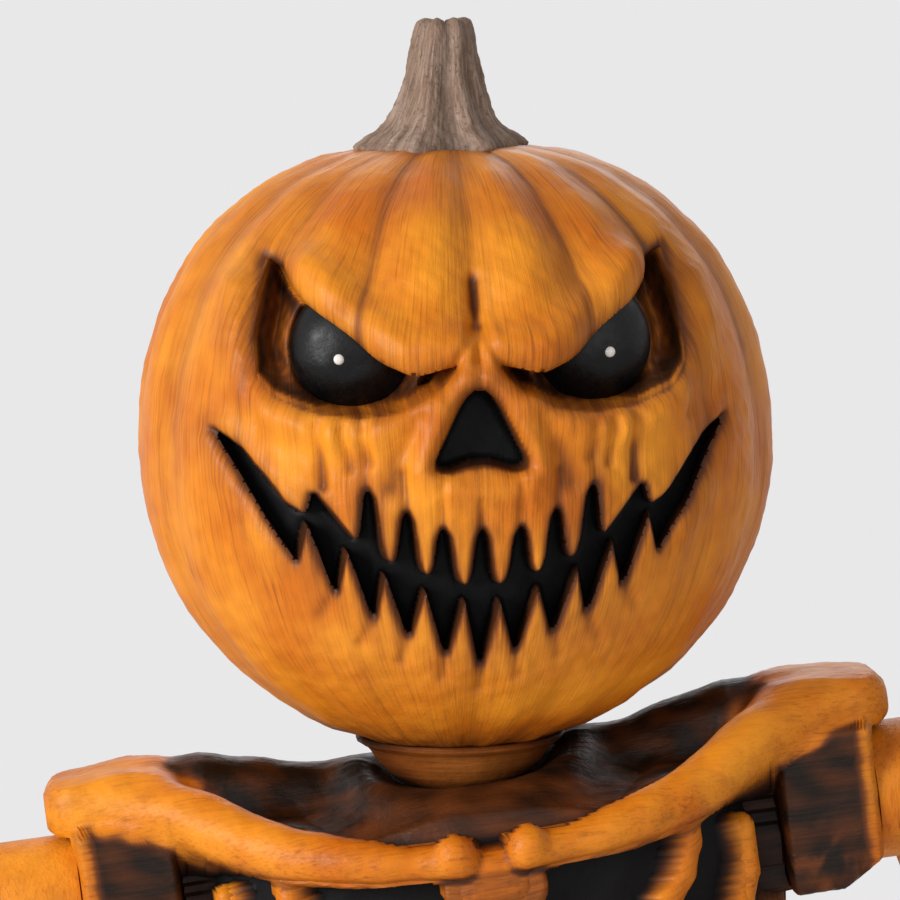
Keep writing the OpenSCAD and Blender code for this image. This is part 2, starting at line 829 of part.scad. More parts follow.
module spine_rod() {
    low = hip_z + 14;
    color("silver") difference() {
        union() {
            translate([0, 0, low]) cylinder(r = rod_r, h = torso_base + rod_collar + 6 - low);
            translate([0, 0, torso_base + rod_collar - 4 + 0.3]) cylinder(r = 16, h = 4);
        }
        translate([0, 0, low - 1]) cylinder(r = rod_r - 1.5, h = torso_base + rod_collar + 8 - low);
    }
}

vertebrae = 4;

module lumbar_spine() {
    tall = torso_base - side_gap - pelvis_top - seat_gap;
    pitch = tall / vertebrae;
    color("darkorange") translate([0, 0, pelvis_top + seat_gap]) difference() {
        union() {
            cylinder(r = 15, h = tall);
            for (i = [0:vertebrae - 1]) translate([0, 0, i * pitch]) {
                rotate_extrude() polygon([[0, 0], [24, 0], [21, pitch * 0.4], [24, pitch * 0.8], [0, pitch * 0.8]]);
                translate([0, 0, pitch * 0.4]) xcyl(5, 92);
                translate([0, 0, pitch * 0.3]) ycyl(6, 18, 42);
            }
        }
        translate([0, 0, -1]) cylinder(r = rod_r + seat_gap, h = tall + 2);
    }
}

pelvis_d = 34;                   // depth of each half of the pelvis
hip_hub_r = 24;
hip_hub_t = 28;

// Outline of the pelvis from the front, about the hip axis, on the left side.
pelvis_edge = [
    [0, 82], [44, 82], [64, 66], [88, 84], [114, 80], [126, 58], [120, 36], [98, 29],
    [hip_w / 2, 31], [hip_w / 2, -29], [46, -54], [28, -62], [12, -56], [0, -34]
];
pelvis_hole = [[20, -34], [32, -38], [40, -30], [34, -26], [22, -26]];

module pelvis_plan() {
    for (s = [0, 1]) mirror([s, 0]) difference() {
        polygon(pelvis_edge);
        polygon(pelvis_hole);
    }
}

// Screw posts of the pelvis: sideways and above the hip axis.
pelvis_posts = [[-102, 56], [102, 56], [-26, 50], [26, 50]];

module at_pelvis_posts() {
    for (p = pelvis_posts) translate([p[0], 0, hip_z + p[1]]) children();
}

// Front half of the pelvis; the rear half is the same, mirrored.
module pelvis_half() {
    translate([0, 0, hip_z]) difference() {
        rotate([90, 0, 0]) linear_extrude(pelvis_d) pelvis_plan();
        translate([0, 0, 14 - seat_gap]) cylinder(r = rod_r + seat_gap, h = 200);
        xcyl(hip_hub_r + seat_gap, hip_w + 2);
    }
}

module pelvis_front() {
    color("darkorange") difference() {
        pelvis_half();
        at_pelvis_posts() ycyl(1.8, -20, 1);
    }
}

module pelvis_rear() {
    color("darkorange") difference() {
        mirror([0, 1, 0]) pelvis_half();
        at_pelvis_posts() {
            ycyl(2.2, -1, pelvis_d + 1);
            ycyl(4.6, pelvis_d - 6, pelvis_d + 1);
        }
    }
}

module pelvis_screws() {
    color("silver") at_pelvis_posts() rear_screw(pelvis_d - 6 + seat_gap, pelvis_d + 10);
}

module hip_hubs() {
    color("dimgray") both_sides() translate([hip_w / 2 - hip_hub_t / 2, 0, hip_z]) difference() {
        xcyl(hip_hub_r, hip_hub_t);
        xcyl(bolt_r + run_gap, hip_hub_t + 2);
    }
}

module hip_bolts() {
    color("silver") both_sides() joint_bolt(hip_w / 2, hip_drum_t, hip_hub_t + seat_gap, hip_z);
}

// ---------- arms ----------

// Frames of an arm's pieces; side is 1 for the left arm and -1 for the right.
module at_shoulder(side) {
    translate([side * arm_x, 0, shoulder_z]) rotate([0, -side * arm_spread, 0]) children();
}

module at_elbow(side) {
    at_shoulder(side) translate([0, 0, -upper_arm_len]) rotate([-elbow_bend, 0, 0]) children();
}

module at_wrist(side) {
    at_elbow(side) translate([0, 0, -forearm_len]) children();
}

fork_w = tongue_t + 2 * side_gap + 2 * ear_t;

// Two ears round a pin, hanging below a solid neck; rise is the height of the neck.
module fork(r, rise) {
    difference() {
        union() {
            xcyl(r, fork_w);
            translate([-fork_w / 2, -r * 0.8, 0]) cube([fork_w, r * 1.6, rise]);
            translate([0, 0, rise - 6]) cylinder(r = fork_w / 2 + 2, h = 12);
        }
        xcyl(r + 3, tongue_t + 2 * side_gap);
        xcyl(pin_r + run_gap, fork_w + 10);
    }
}

// Hollow pin along X with a head at each end.
module joint_pin() {
    length = fork_w + 2 * seat_gap;
    difference() {
        xcyl(pin_r, length + 1);
        xcyl(pin_r - 1.5, length + 5);
    }
    for (s = [-1, 1]) translate([s * (length / 2 + 1), 0, 0]) difference() {
        xcyl(pin_r + 2.5, 2);
        xcyl(pin_r - 0.2, 3);
    }
}

module upper_arm(side) {
    neck = joint_r + 12;
    color("darkorange") difference() {
        union() {
            translate([side * arm_x, 0, shoulder_z]) xcyl(drum_r, drum_t);
            at_shoulder(side) {
                bone(upper_arm_len - neck, 22, 14, fork_w / 2);
                translate([0, 0, -upper_arm_len]) fork(joint_r, neck);
            }
        }
        translate([side * arm_x, 0, shoulder_z]) xcyl(bolt_r + run_gap, drum_t + 2);
        translate([side * (arm_x + drum_t / 2 - 6 + 25), 0, shoulder_z]) xcyl(11, 50);
    }
}

peg_hand_r = 8;                  // the hand's peg, in the end of the forearm
peg_hand_h = 24;

module forearm(side) {
    color("darkorange") at_elbow(side) difference() {
        union() {
            xcyl(joint_r, tongue_t);
            translate([0, 0, -34]) cylinder(r = tongue_t / 2, h = 34);
            translate([0, 0, -52]) cylinder(r1 = 20, r2 = tongue_t / 2 - 0.5, h = 20);
            for (s = [-1, 1]) translate([s * 11, 0, -46]) bone(forearm_len - 78, 8.5, 6, 8.5);
            translate([0, 0, side_gap - forearm_len]) cylinder(r1 = 15.5, r2 = 20.5, h = 34);
        }
        xcyl(pin_r + run_gap, 80);
        translate([0, 0, -forearm_len]) cylinder(r = peg_hand_r + run_gap, h = peg_hand_h + 2);
        translate([0, 0, 12 - forearm_len]) cylinder(r = peg_hand_r + 1 + run_gap, h = 3.2);
    }
}

palm_h = 76;
fingers = [[-25, 60, 7], [-8.5, 70, 2], [8.5, 68, -2], [25, 56, -7]];

// One finger of three joints, each bent further towards the palm.
module finger(length) {
    cylinder(r = 7.5, h = 0.4 * length, center = true);
    translate([0, 0, -0.2 * length]) rotate([14, 0, 0]) {
        sphere(7.6);
        translate([0, 0, -0.4 * length]) cylinder(r1 = 6.6, r2 = 7, h = 0.4 * length);
        translate([0, 0, -0.4 * length]) rotate([18, 0, 0]) {
            sphere(6.9);
            translate([0, 0, -0.45 * length]) cylinder(r1 = 3, r2 = 6.2, h = 0.45 * length);
        }
    }
}

module thumb() {
    translate([0, 0, -34]) cylinder(r1 = 7, r2 = 8, h = 38);
    translate([0, 0, -34]) rotate([10, -26, 0]) {
        sphere(7.4);
        translate([0, 0, -32]) cylinder(r1 = 3.4, r2 = 6.8, h = 32);
    }
}

// The hand hangs from its peg, palm towards the thigh and thumb forwards.
module hand(side) {
    color("darkorange") at_wrist(side) mirror([side < 0 ? 1 : 0, 0, 0]) rotate([0, 0, 90]) {
        cylinder(r = peg_hand_r, h = peg_hand_h);
        translate([0, 0, 12.1]) cylinder(r = peg_hand_r + 1, h = 3);
        translate([0, 0, -8]) cylinder(r1 = 17, r2 = 14, h = 8);
        translate([0, 9, -6]) rotate([90, 0, 0]) linear_extrude(18)
            polygon([[-17, 0], [17, 0], [32, 8 - palm_h], [24, -palm_h], [-24, -palm_h], [-32, 8 - palm_h]]);
        for (f = fingers) translate([f[0], 0, -palm_h]) rotate([8, -f[2], 0]) finger(f[1]);
        translate([-27, -4, -30]) rotate([16, 46, 0]) thumb();
    }
}

module elbow_pin(side) {
    color("silver") at_shoulder(side) translate([0, 0, -upper_arm_len]) joint_pin();
}

// ---------- legs ----------

module at_leg(side, z) {
    translate([side * leg_x, 0, z]) children();
}

module thigh(side) {
    neck = knee_r + 14;
    color("darkorange") difference() {
        union() {
            at_leg(side, hip_z) {
                xcyl(hip_drum_r, hip_drum_t);
                bone(thigh_len - neck, hip_drum_t / 2 - 1, 15, fork_w / 2 + 2);
            }
            at_leg(side, knee_z) fork(knee_r, neck);
        }
        at_leg(side, hip_z) xcyl(bolt_r + run_gap, hip_drum_t + 2);
        translate([side * (leg_x + hip_drum_t / 2 - 6 + 25), 0, hip_z]) xcyl(11, 50);
    }
}

module knee_pin(side) {
    color("silver") at_leg(side, knee_z) joint_pin();
}

module shin(side) {
    neck = joint_r + 12;
    color("darkorange") at_leg(side, knee_z) difference() {
        union() {
            xcyl(knee_r, tongue_t);
            translate([0, 0, -40]) cylinder(r = tongue_t / 2, h = 40);
            translate([0, 0, -62]) cylinder(r1 = 24, r2 = tongue_t / 2 - 0.5, h = 24);
            translate([-side * 5, -2, -58]) bone(shin_len - 58 - neck, 17, 11, 14);
            translate([side * 17, 6, -58]) bone(shin_len - 62 - neck, 7.5, 5.5, 8);
            translate([0, 0, -shin_len + neck + 4]) cylinder(r1 = fork_w / 2 + 3, r2 = fork_w / 2 + 5, h = 16);
            translate([0, 0, -shin_len]) fork(joint_r, neck);
        }
        xcyl(pin_r + run_gap, 80);
    }
}

module ankle_pin(side) {
    color("silver") at_leg(side, ankle_h) joint_pin();
}

sole_t = 10;
heel_y = foot_mid_y + foot_len / 2;
toe_y = foot_mid_y - foot_len / 2;
toe_gap = (foot_w - 22) / 4;     // from one toe to the next

// Distance of toe i from the inner side of the foot; the first toe is the great toe.
function toe_x(i) = 12 - foot_w / 2 + i * toe_gap;

// Plan of a foot: a round heel that widens to five toes.
module foot_plan() {
    hull() {
        translate([0, heel_y - 26]) circle(26, $fn = 32);
        translate([18 - foot_w / 2, toe_y + 30]) circle(18, $fn = 32);
        translate([foot_w / 2 - 20, toe_y + 34]) circle(18, $fn = 32);
    }
    for (i = [0:4]) translate([toe_x(i), toe_y + 11 + i * i]) circle(i == 0 ? 11 : 9, $fn = 32);
}

// The two stake holes, in the heel and between the toes.
stake_y = [heel_y - 12, toe_y + 60];

module foot(side) {
    color("darkorange") at_leg(side, 0) mirror([side < 0 ? 1 : 0, 0, 0]) difference() {
        union() {
            linear_extrude(sole_t) foot_plan();
            translate([0, heel_y - 36, 0]) cylinder(r1 = 24, r2 = 16, h = 38);
            translate([0, 0, ankle_h]) xcyl(joint_r, tongue_t);
            translate([-tongue_t / 2, -joint_r, sole_t - 1])
                cube([tongue_t, 2 * joint_r, ankle_h - sole_t + 1]);
            for (i = [0:4]) translate([toe_x(i) * 0.3, -8, 38])
                rotate([102, 0, atan(toe_x(i) * 0.62 / (8 - toe_y))])
                    cylinder(r1 = 13, r2 = i == 0 ? 10 : 8, h = 26 - toe_y - 60);
        }
        for (y = stake_y) translate([0, y, 0]) {
            translate([0, 0, -1]) cylinder(r = stake_r, h = sole_t + 2);
            translate([0, 0, sole_t]) cylinder(r = stake_r + 4, h = 50);
        }
        translate([0, 0, ankle_h]) xcyl(pin_r + run_gap, 80);
        translate([0, 0, -200]) cube(400, center = true);
    }
}

// ---------- what is drawn ----------

head_front_shell();
head_rear_shell();
head_screws();
stem();
stem_screw();
eye(1);  // eye_left
eye(-1);  // eye_right
eye_led(1);  // eye_led_left
eye_led(-1);  // eye_led_right
led_wires();
battery_box();
battery_cells();
battery_door();
switch_knob();
neck_cup();
neck_bowl();
neck_post();
neck_ball();
neck_friction_ring();
neck_socket();
neck_screw();
torso_front_shell();
torso_rear_shell();
torso_screws();
shoulder_hubs();
shoulder_bolts();
waist_socket();
spine_rod();
lumbar_spine();
pelvis_front();
pelvis_rear();
pelvis_screws();
hip_hubs();
hip_bolts();
upper_arm(1);  // upper_arm_left
upper_arm(-1);  // upper_arm_right
elbow_pin(1);  // elbow_pin_left
elbow_pin(-1);  // elbow_pin_right
forearm(1);  // forearm_left
forearm(-1);  // forearm_right
hand(1);  // hand_left
hand(-1);  // hand_right
thigh(1);  // thigh_left
thigh(-1);  // thigh_right
knee_pin(1);  // knee_pin_left
knee_pin(-1);  // knee_pin_right
shin(1);  // shin_left
shin(-1);  // shin_right
ankle_pin(1);  // ankle_pin_left
ankle_pin(-1);  // ankle_pin_right
foot(1);  // foot_left
foot(-1);  // foot_right
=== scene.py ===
"""Looks of a standing, posable pumpkin-headed skeleton figure, built round its fixed CAD frame.

Every length in this file is in millimetres unless its name ends in _m; meshes and shader sockets
take metres. The face looks along -Y, the figure's own left side is +X and the floor is at z = 0.
"""
from __future__ import annotations

import json
import logging
import math
from collections.abc import Callable
from dataclasses import dataclass
from enum import Enum

import bmesh
import bpy
import numpy as np
from mathutils import Matrix, Vector

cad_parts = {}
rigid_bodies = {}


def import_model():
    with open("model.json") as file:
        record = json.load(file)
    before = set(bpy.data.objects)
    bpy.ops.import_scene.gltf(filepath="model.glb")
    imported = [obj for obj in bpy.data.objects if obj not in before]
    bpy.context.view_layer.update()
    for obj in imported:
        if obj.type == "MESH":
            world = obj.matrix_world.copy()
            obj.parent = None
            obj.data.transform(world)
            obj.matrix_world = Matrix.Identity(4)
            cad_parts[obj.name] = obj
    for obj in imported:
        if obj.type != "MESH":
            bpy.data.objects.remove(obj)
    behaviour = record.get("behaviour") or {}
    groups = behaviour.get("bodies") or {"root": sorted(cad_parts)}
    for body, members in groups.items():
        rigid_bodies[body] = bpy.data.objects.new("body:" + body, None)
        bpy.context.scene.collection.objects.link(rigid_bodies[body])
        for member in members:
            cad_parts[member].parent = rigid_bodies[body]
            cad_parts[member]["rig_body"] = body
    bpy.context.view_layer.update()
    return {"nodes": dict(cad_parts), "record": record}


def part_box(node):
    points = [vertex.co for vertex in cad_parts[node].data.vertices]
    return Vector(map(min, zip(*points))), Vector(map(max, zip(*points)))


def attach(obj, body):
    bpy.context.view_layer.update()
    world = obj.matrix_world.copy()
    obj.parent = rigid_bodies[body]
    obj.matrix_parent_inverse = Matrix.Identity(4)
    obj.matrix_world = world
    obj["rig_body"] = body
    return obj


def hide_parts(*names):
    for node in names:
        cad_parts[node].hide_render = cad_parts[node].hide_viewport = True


LOG = logging.getLogger("skeleton_figure")
MM = 0.001
NECK_BALL_R = 19.0
Array = np.ndarray
Socket = bpy.types.NodeSocket
Tree = bpy.types.NodeTree


# ---------------------------------------------------------------- arithmetic


def smoothstep(low: float, high: float, value: Array) -> Array:
    """Rises from 0 at low to 1 at high along 3t^2 - 2t^3.

    Args:
        low: value at which the result leaves 0.
        high: value at which the result reaches 1.
        value: any array.

    Returns:
        An array of the same shape, between 0 and 1.
    """
    t = np.clip((value - low) / (high - low), 0.0, 1.0)
    return t * t * (3.0 - 2.0 * t)


def smooth_min(a: Array, b: Array, k: float) -> Array:
    """The smaller of two distances, with a fillet of about k millimetres where they are equal.

    Args:
        a: first distances.
        b: second distances.
        k: width over which one takes over from the other.

    Returns:
        min(a, b) less k h (1 - h), where h runs from 0 to 1 across the fillet.
    """
    h = np.clip(0.5 + 0.5 * (b - a) / k, 0.0, 1.0)
    return b * (1.0 - h) + a * h - k * h * (1.0 - h)


def ripple(p: Array, period: float, seed: int) -> Array:
    """Gentle unevenness of a hand-made surface: a product sum of seeded sines in three directions.

    Args:
        p: points, last axis x, y, z.
        period: length of the longest wave in millimetres.
        seed: chooses directions and phases.

    Returns:
        Values between about -1 and 1.
    """
    rng = np.random.default_rng(seed)
    waves = rng.normal(size=(7, 3))
    waves /= np.linalg.norm(waves, axis=1, keepdims=True)
    phase = rng.uniform(0, 2 * np.pi, 7)
    rate = 2 * np.pi / period * np.linspace(1.0, 2.6, 7)
    turns = np.sin(np.tensordot(p, (waves * rate[:, None]).T, axes=1) + phase)
    return turns.sum(axis=-1) / 3.2


def spread(low: float, high: float, fine_low: float, fine_high: float, fine: float, coarse: float) -> Array:
    """Grid values from low to high, close together between fine_low and fine_high.

    Args:
        low: first value.
        high: last value.
        fine_low: start of the close spacing.
        fine_high: end of the close spacing.
        fine: step inside that range.
        coarse: step outside it.

    Returns:
        Increasing values; the step changes smoothly by integrating its inverse.
    """
    t = np.linspace(low, high, 4001)
    fade = 4 * coarse
    near = smoothstep(fine_low - fade, fine_low, t) * (1 - smoothstep(fine_high, fine_high + fade, t))
    density = 1 / coarse + (1 / fine - 1 / coarse) * near
    count = np.concatenate([[0.0], np.cumsum((density[1:] + density[:-1]) / 2 * np.diff(t))])
    return np.interp(np.linspace(0, count[-1], int(round(count[-1])) + 1), count, t)


def rounded(corners: Array, cut: float) -> Array:
    """A closed outline whose corners are swept by quadratic curves.

    Args:
        corners: (n, 2) corner points.
        cut: length taken off each edge at a corner, at most 0.45 of the edge.

    Returns:
        (5 n, 2) points: at each corner the curve (1-t)^2 a + 2 t (1-t) p + t^2 b.
    """
    back, ahead = np.roll(corners, 1, 0) - corners, np.roll(corners, -1, 0) - corners
    ends = []
    for edge in (back, ahead):
        length = np.linalg.norm(edge, axis=1, keepdims=True)
        ends.append(corners + edge * np.minimum(cut / length, 0.45))
    t = np.linspace(0, 1, 5)[None, :, None]
    curve = (1 - t) ** 2 * ends[0][:, None] + 2 * t * (1 - t) * corners[:, None] + t**2 * ends[1][:, None]
    return curve.reshape(-1, 2)


def line_distance(p: Array, line: Array, closed: bool = False) -> Array:
    """Distance from points of a plane to a polyline.

    Args:
        p: (n, 2) points.
        line: (m, 2) corners of the line.
        closed: whether the last corner joins the first.

    Returns:
        (n,) distances, the least over all edges of the distance to the nearest point of the edge.
    """
    a = line if closed else line[:-1]
    edge = np.roll(line, -1, 0)[: len(a)] - a
    to = p[:, None] - a[None]
    t = np.clip((to * edge).sum(-1) / np.maximum((edge**2).sum(-1), 1e-9), 0, 1)
    return np.sqrt((((to - t[..., None] * edge) ** 2).sum(-1)).min(1))


def outline_distance(p: Array, outline: Array) -> Array:
    """Signed distance to a closed outline, negative inside.

    Args:
        p: (n, 2) points.
        outline: (m, 2) corners.

    Returns:
        (n,) distances; a point is inside if a ray from it crosses an odd number of edges.
    """
    a, b = outline, np.roll(outline, -1, 0)
    px, py = p[:, :1], p[:, 1:]
    spans = (a[:, 1] > py) != (b[:, 1] > py)
    rise = np.where(np.abs(b[:, 1] - a[:, 1]) < 1e-9, 1e-9, b[:, 1] - a[:, 1])
    crosses = spans & (px < (b[:, 0] - a[:, 0]) * (py - a[:, 1]) / rise + a[:, 0])
    inside = crosses.sum(1) % 2 == 1
    return np.where(inside, -1.0, 1.0) * line_distance(p, outline, closed=True)


def curve(x: Array, knots: Array, values: Array) -> Array:
    """A smooth curve through points: cubic Hermite pieces with central slopes.

    Args:
        x: places to look up, within the knots.
        knots: places of the points, rising.
        values: the points' values.

    Returns:
        The value at each place.
    """
    slopes = np.gradient(values, knots)
    i = np.clip(np.searchsorted(knots, x, side="right") - 1, 0, len(knots) - 2)
    h = knots[i + 1] - knots[i]
    t = (x - knots[i]) / h
    ease = t * t * (3 - 2 * t)
    bend = h * t * (1 - t) * (slopes[i] * (1 - t) - slopes[i + 1] * t)
    return values[i] * (1 - ease) + values[i + 1] * ease + bend


def resampled(profile: Array, count: int) -> Array:
    """A profile's radii and heights, drawn finer with the same number of steps between its points.

    Args:
        profile: (n, 2) radii and heights.
        count: how many values are wanted.

    Returns:
        (2, count) radii and heights, in straight lines between the points.
    """
    t = np.linspace(0, len(profile) - 1, count)
    return np.stack([np.interp(t, np.arange(len(profile)), profile[:, i]) for i in (0, 1)])


def folded(p: Array) -> Array:
    """Points (x, z) with those of the right half mirrored to the left."""
    return np.stack([np.abs(p[:, 0]), p[:, 1]], -1)


# ---------------------------------------------------------------- meshes


def write_mesh(
    name: str,
    grid: Array,
    attributes: dict[str, Array] | None = None,
    wrap: bool = True,
    capped: bool = True,
    flow: Array | None = None,
) -> bpy.types.Object:
    """Puts a grid of points into a smooth-shaded mesh of quads.

    Args:
        name: name of the piece.
        grid: (rows, columns, 3) points in millimetres.
        attributes: named values, one for each grid point.
        wrap: whether the last column joins the first.
        capped: whether a fan to the middle of the first and of the last row closes the ends.
        flow: (rows, columns, 3) coordinates in metres that brush strokes follow.

    Returns:
        The new object, at the origin.
    """
    rows, cols = grid.shape[:2]
    points = grid.reshape(-1, 3) * MM
    r, c = np.meshgrid(np.arange(rows - 1), np.arange(cols if wrap else cols - 1), indexing="ij")
    a, b = r * cols + c, r * cols + (c + 1) % cols
    quads = np.stack([a, b, b + cols, a + cols], -1).reshape(-1, 4)
    tris = np.zeros((0, 3), int)
    if capped:
        first, last = len(points), len(points) + 1
        points = np.vstack([points, grid[0].mean(0) * MM, grid[-1].mean(0) * MM])
        c = np.arange(cols if wrap else cols - 1)
        d = (c + 1) % cols
        top = (rows - 1) * cols
        tris = np.vstack([
            np.stack([d, c, np.full_like(c, first)], -1),
            np.stack([top + c, top + d, np.full_like(c, last)], -1),
        ])
    mesh = bpy.data.meshes.new(name)
    mesh.vertices.add(len(points))
    mesh.vertices.foreach_set("co", points.astype(np.float32).ravel())
    loops = np.concatenate([quads.ravel(), tris.ravel()])
    mesh.loops.add(len(loops))
    mesh.loops.foreach_set("vertex_index", loops.astype(np.int32))
    starts = np.concatenate([np.arange(len(quads)) * 4, len(quads) * 4 + np.arange(len(tris)) * 3])
    mesh.polygons.add(len(quads) + len(tris))
    mesh.polygons.foreach_set("loop_start", starts.astype(np.int32))
    mesh.update(calc_edges=True)
    mesh.validate()
    for key, values in (attributes or {}).items():
        flat = values.reshape(-1).astype(np.float32)
        if capped:
            flat = np.append(flat, [values[0].mean(), values[-1].mean()]).astype(np.float32)
        mesh.attributes.new(key, "FLOAT", "POINT").data.foreach_set("value", flat)
    if flow is not None:
        strokes = flow.reshape(-1, 3)
        if capped:
            strokes = np.vstack([strokes, flow[0].mean(0), flow[-1].mean(0)])
        layer = mesh.attributes.new("flow", "FLOAT_VECTOR", "POINT")
        layer.data.foreach_set("vector", strokes.astype(np.float32).ravel())
    mesh.shade_smooth()
    mesh.set_sharp_from_angle(angle=math.radians(50))
    obj = bpy.data.objects.new(name, mesh)
    bpy.context.scene.collection.objects.link(obj)
    return obj


def traced(distance: Callable[[Array], Array], origins: Array, rays: Array, start: Array) -> Array:
    """Where rays first meet a solid when they are followed inwards from outside.

    Each of 60 steps goes three quarters of the way that the distance there allows.

    Args:
        distance: function of points that gives their distance outside the solid.
        origins: points inside the solid, last axis x, y, z.
        rays: unit directions away from those points.
        start: how far out each ray starts.

    Returns:
        Distance along each ray, never more than start.
    """
    reach = start.astype(float).copy()
    for _ in range(60):
        gap = distance(origins + rays * reach[..., None])
        reach = np.clip(reach - 0.75 * gap, 0.5, start)
    return reach


# ---------------------------------------------------------------- finishes
# A noise's Scale is the number of its cells in a metre, so 1000 over the size of one in millimetres.

FACTOR, LOW, HIGH, MIXED = 0, 6, 7, 2      # places of a colour Mix node's inputs and of its output
LOW_NUMBER, HIGH_NUMBER = 2, 3             # places of a plain Mix node's two values


def srgb(code: str) -> tuple[float, float, float, float]:
    """Linear colour of an sRGB hex code: c / 12.92 near black, else ((c + 0.055) / 1.055)^2.4.

    Args:
        code: the colour, such as "#e08a36".

    Returns:
        Red, green, blue and an alpha of 1.
    """
    parts = [int(code[i : i + 2], 16) / 255 for i in (1, 3, 5)]
    line = [c / 12.92 if c <= 0.04045 else ((c + 0.055) / 1.055) ** 2.4 for c in parts]
    return (line[0], line[1], line[2], 1.0)


def feed(node: bpy.types.Node, links: dict) -> None:
    """Feeds a node's inputs.

    Args:
        node: the node.
        links: a socket, an sRGB hex code or a plain value for each input, by its name or place.
    """
    for key, value in links.items():
        if isinstance(value, Socket):
            node.id_data.links.new(value, node.inputs[key])
        else:
            node.inputs[key].default_value = srgb(value) if isinstance(value, str) else value


def add(
    tree: Tree, kind: str, links: dict | None = None, give: str | int = 0, **settings: object
) -> Socket:
    """Adds one shader node.

    Args:
        tree: the material's node tree.
        kind: the node's type name without "ShaderNode".
        links: what feeds its inputs, by name or place.
        give: name or place of the output that is wanted.
        settings: attributes of the node.

    Returns:
        That output.
    """
    node = tree.nodes.new("ShaderNode" + kind)
    for key, value in settings.items():
        setattr(node, key, value)
    feed(node, links or {})
    return node.outputs[give]


def blank(name: str) -> tuple[bpy.types.Material, Tree, bpy.types.Node]:
    """A new material with only its shader and output.

    Args:
        name: the material's name.

    Returns:
        The material, its tree and its Principled BSDF.
    """
    material = bpy.data.materials.new(name)
    material.use_nodes = True
    tree = material.node_tree
    return material, tree, tree.nodes["Principled BSDF"]


class Strokes(Enum):
    """What the brush strokes of an antiqued piece follow."""

    FLOW = "flow"          # the piece's own flow attribute
    UPRIGHT = "upright"    # object space, drawn out along Z


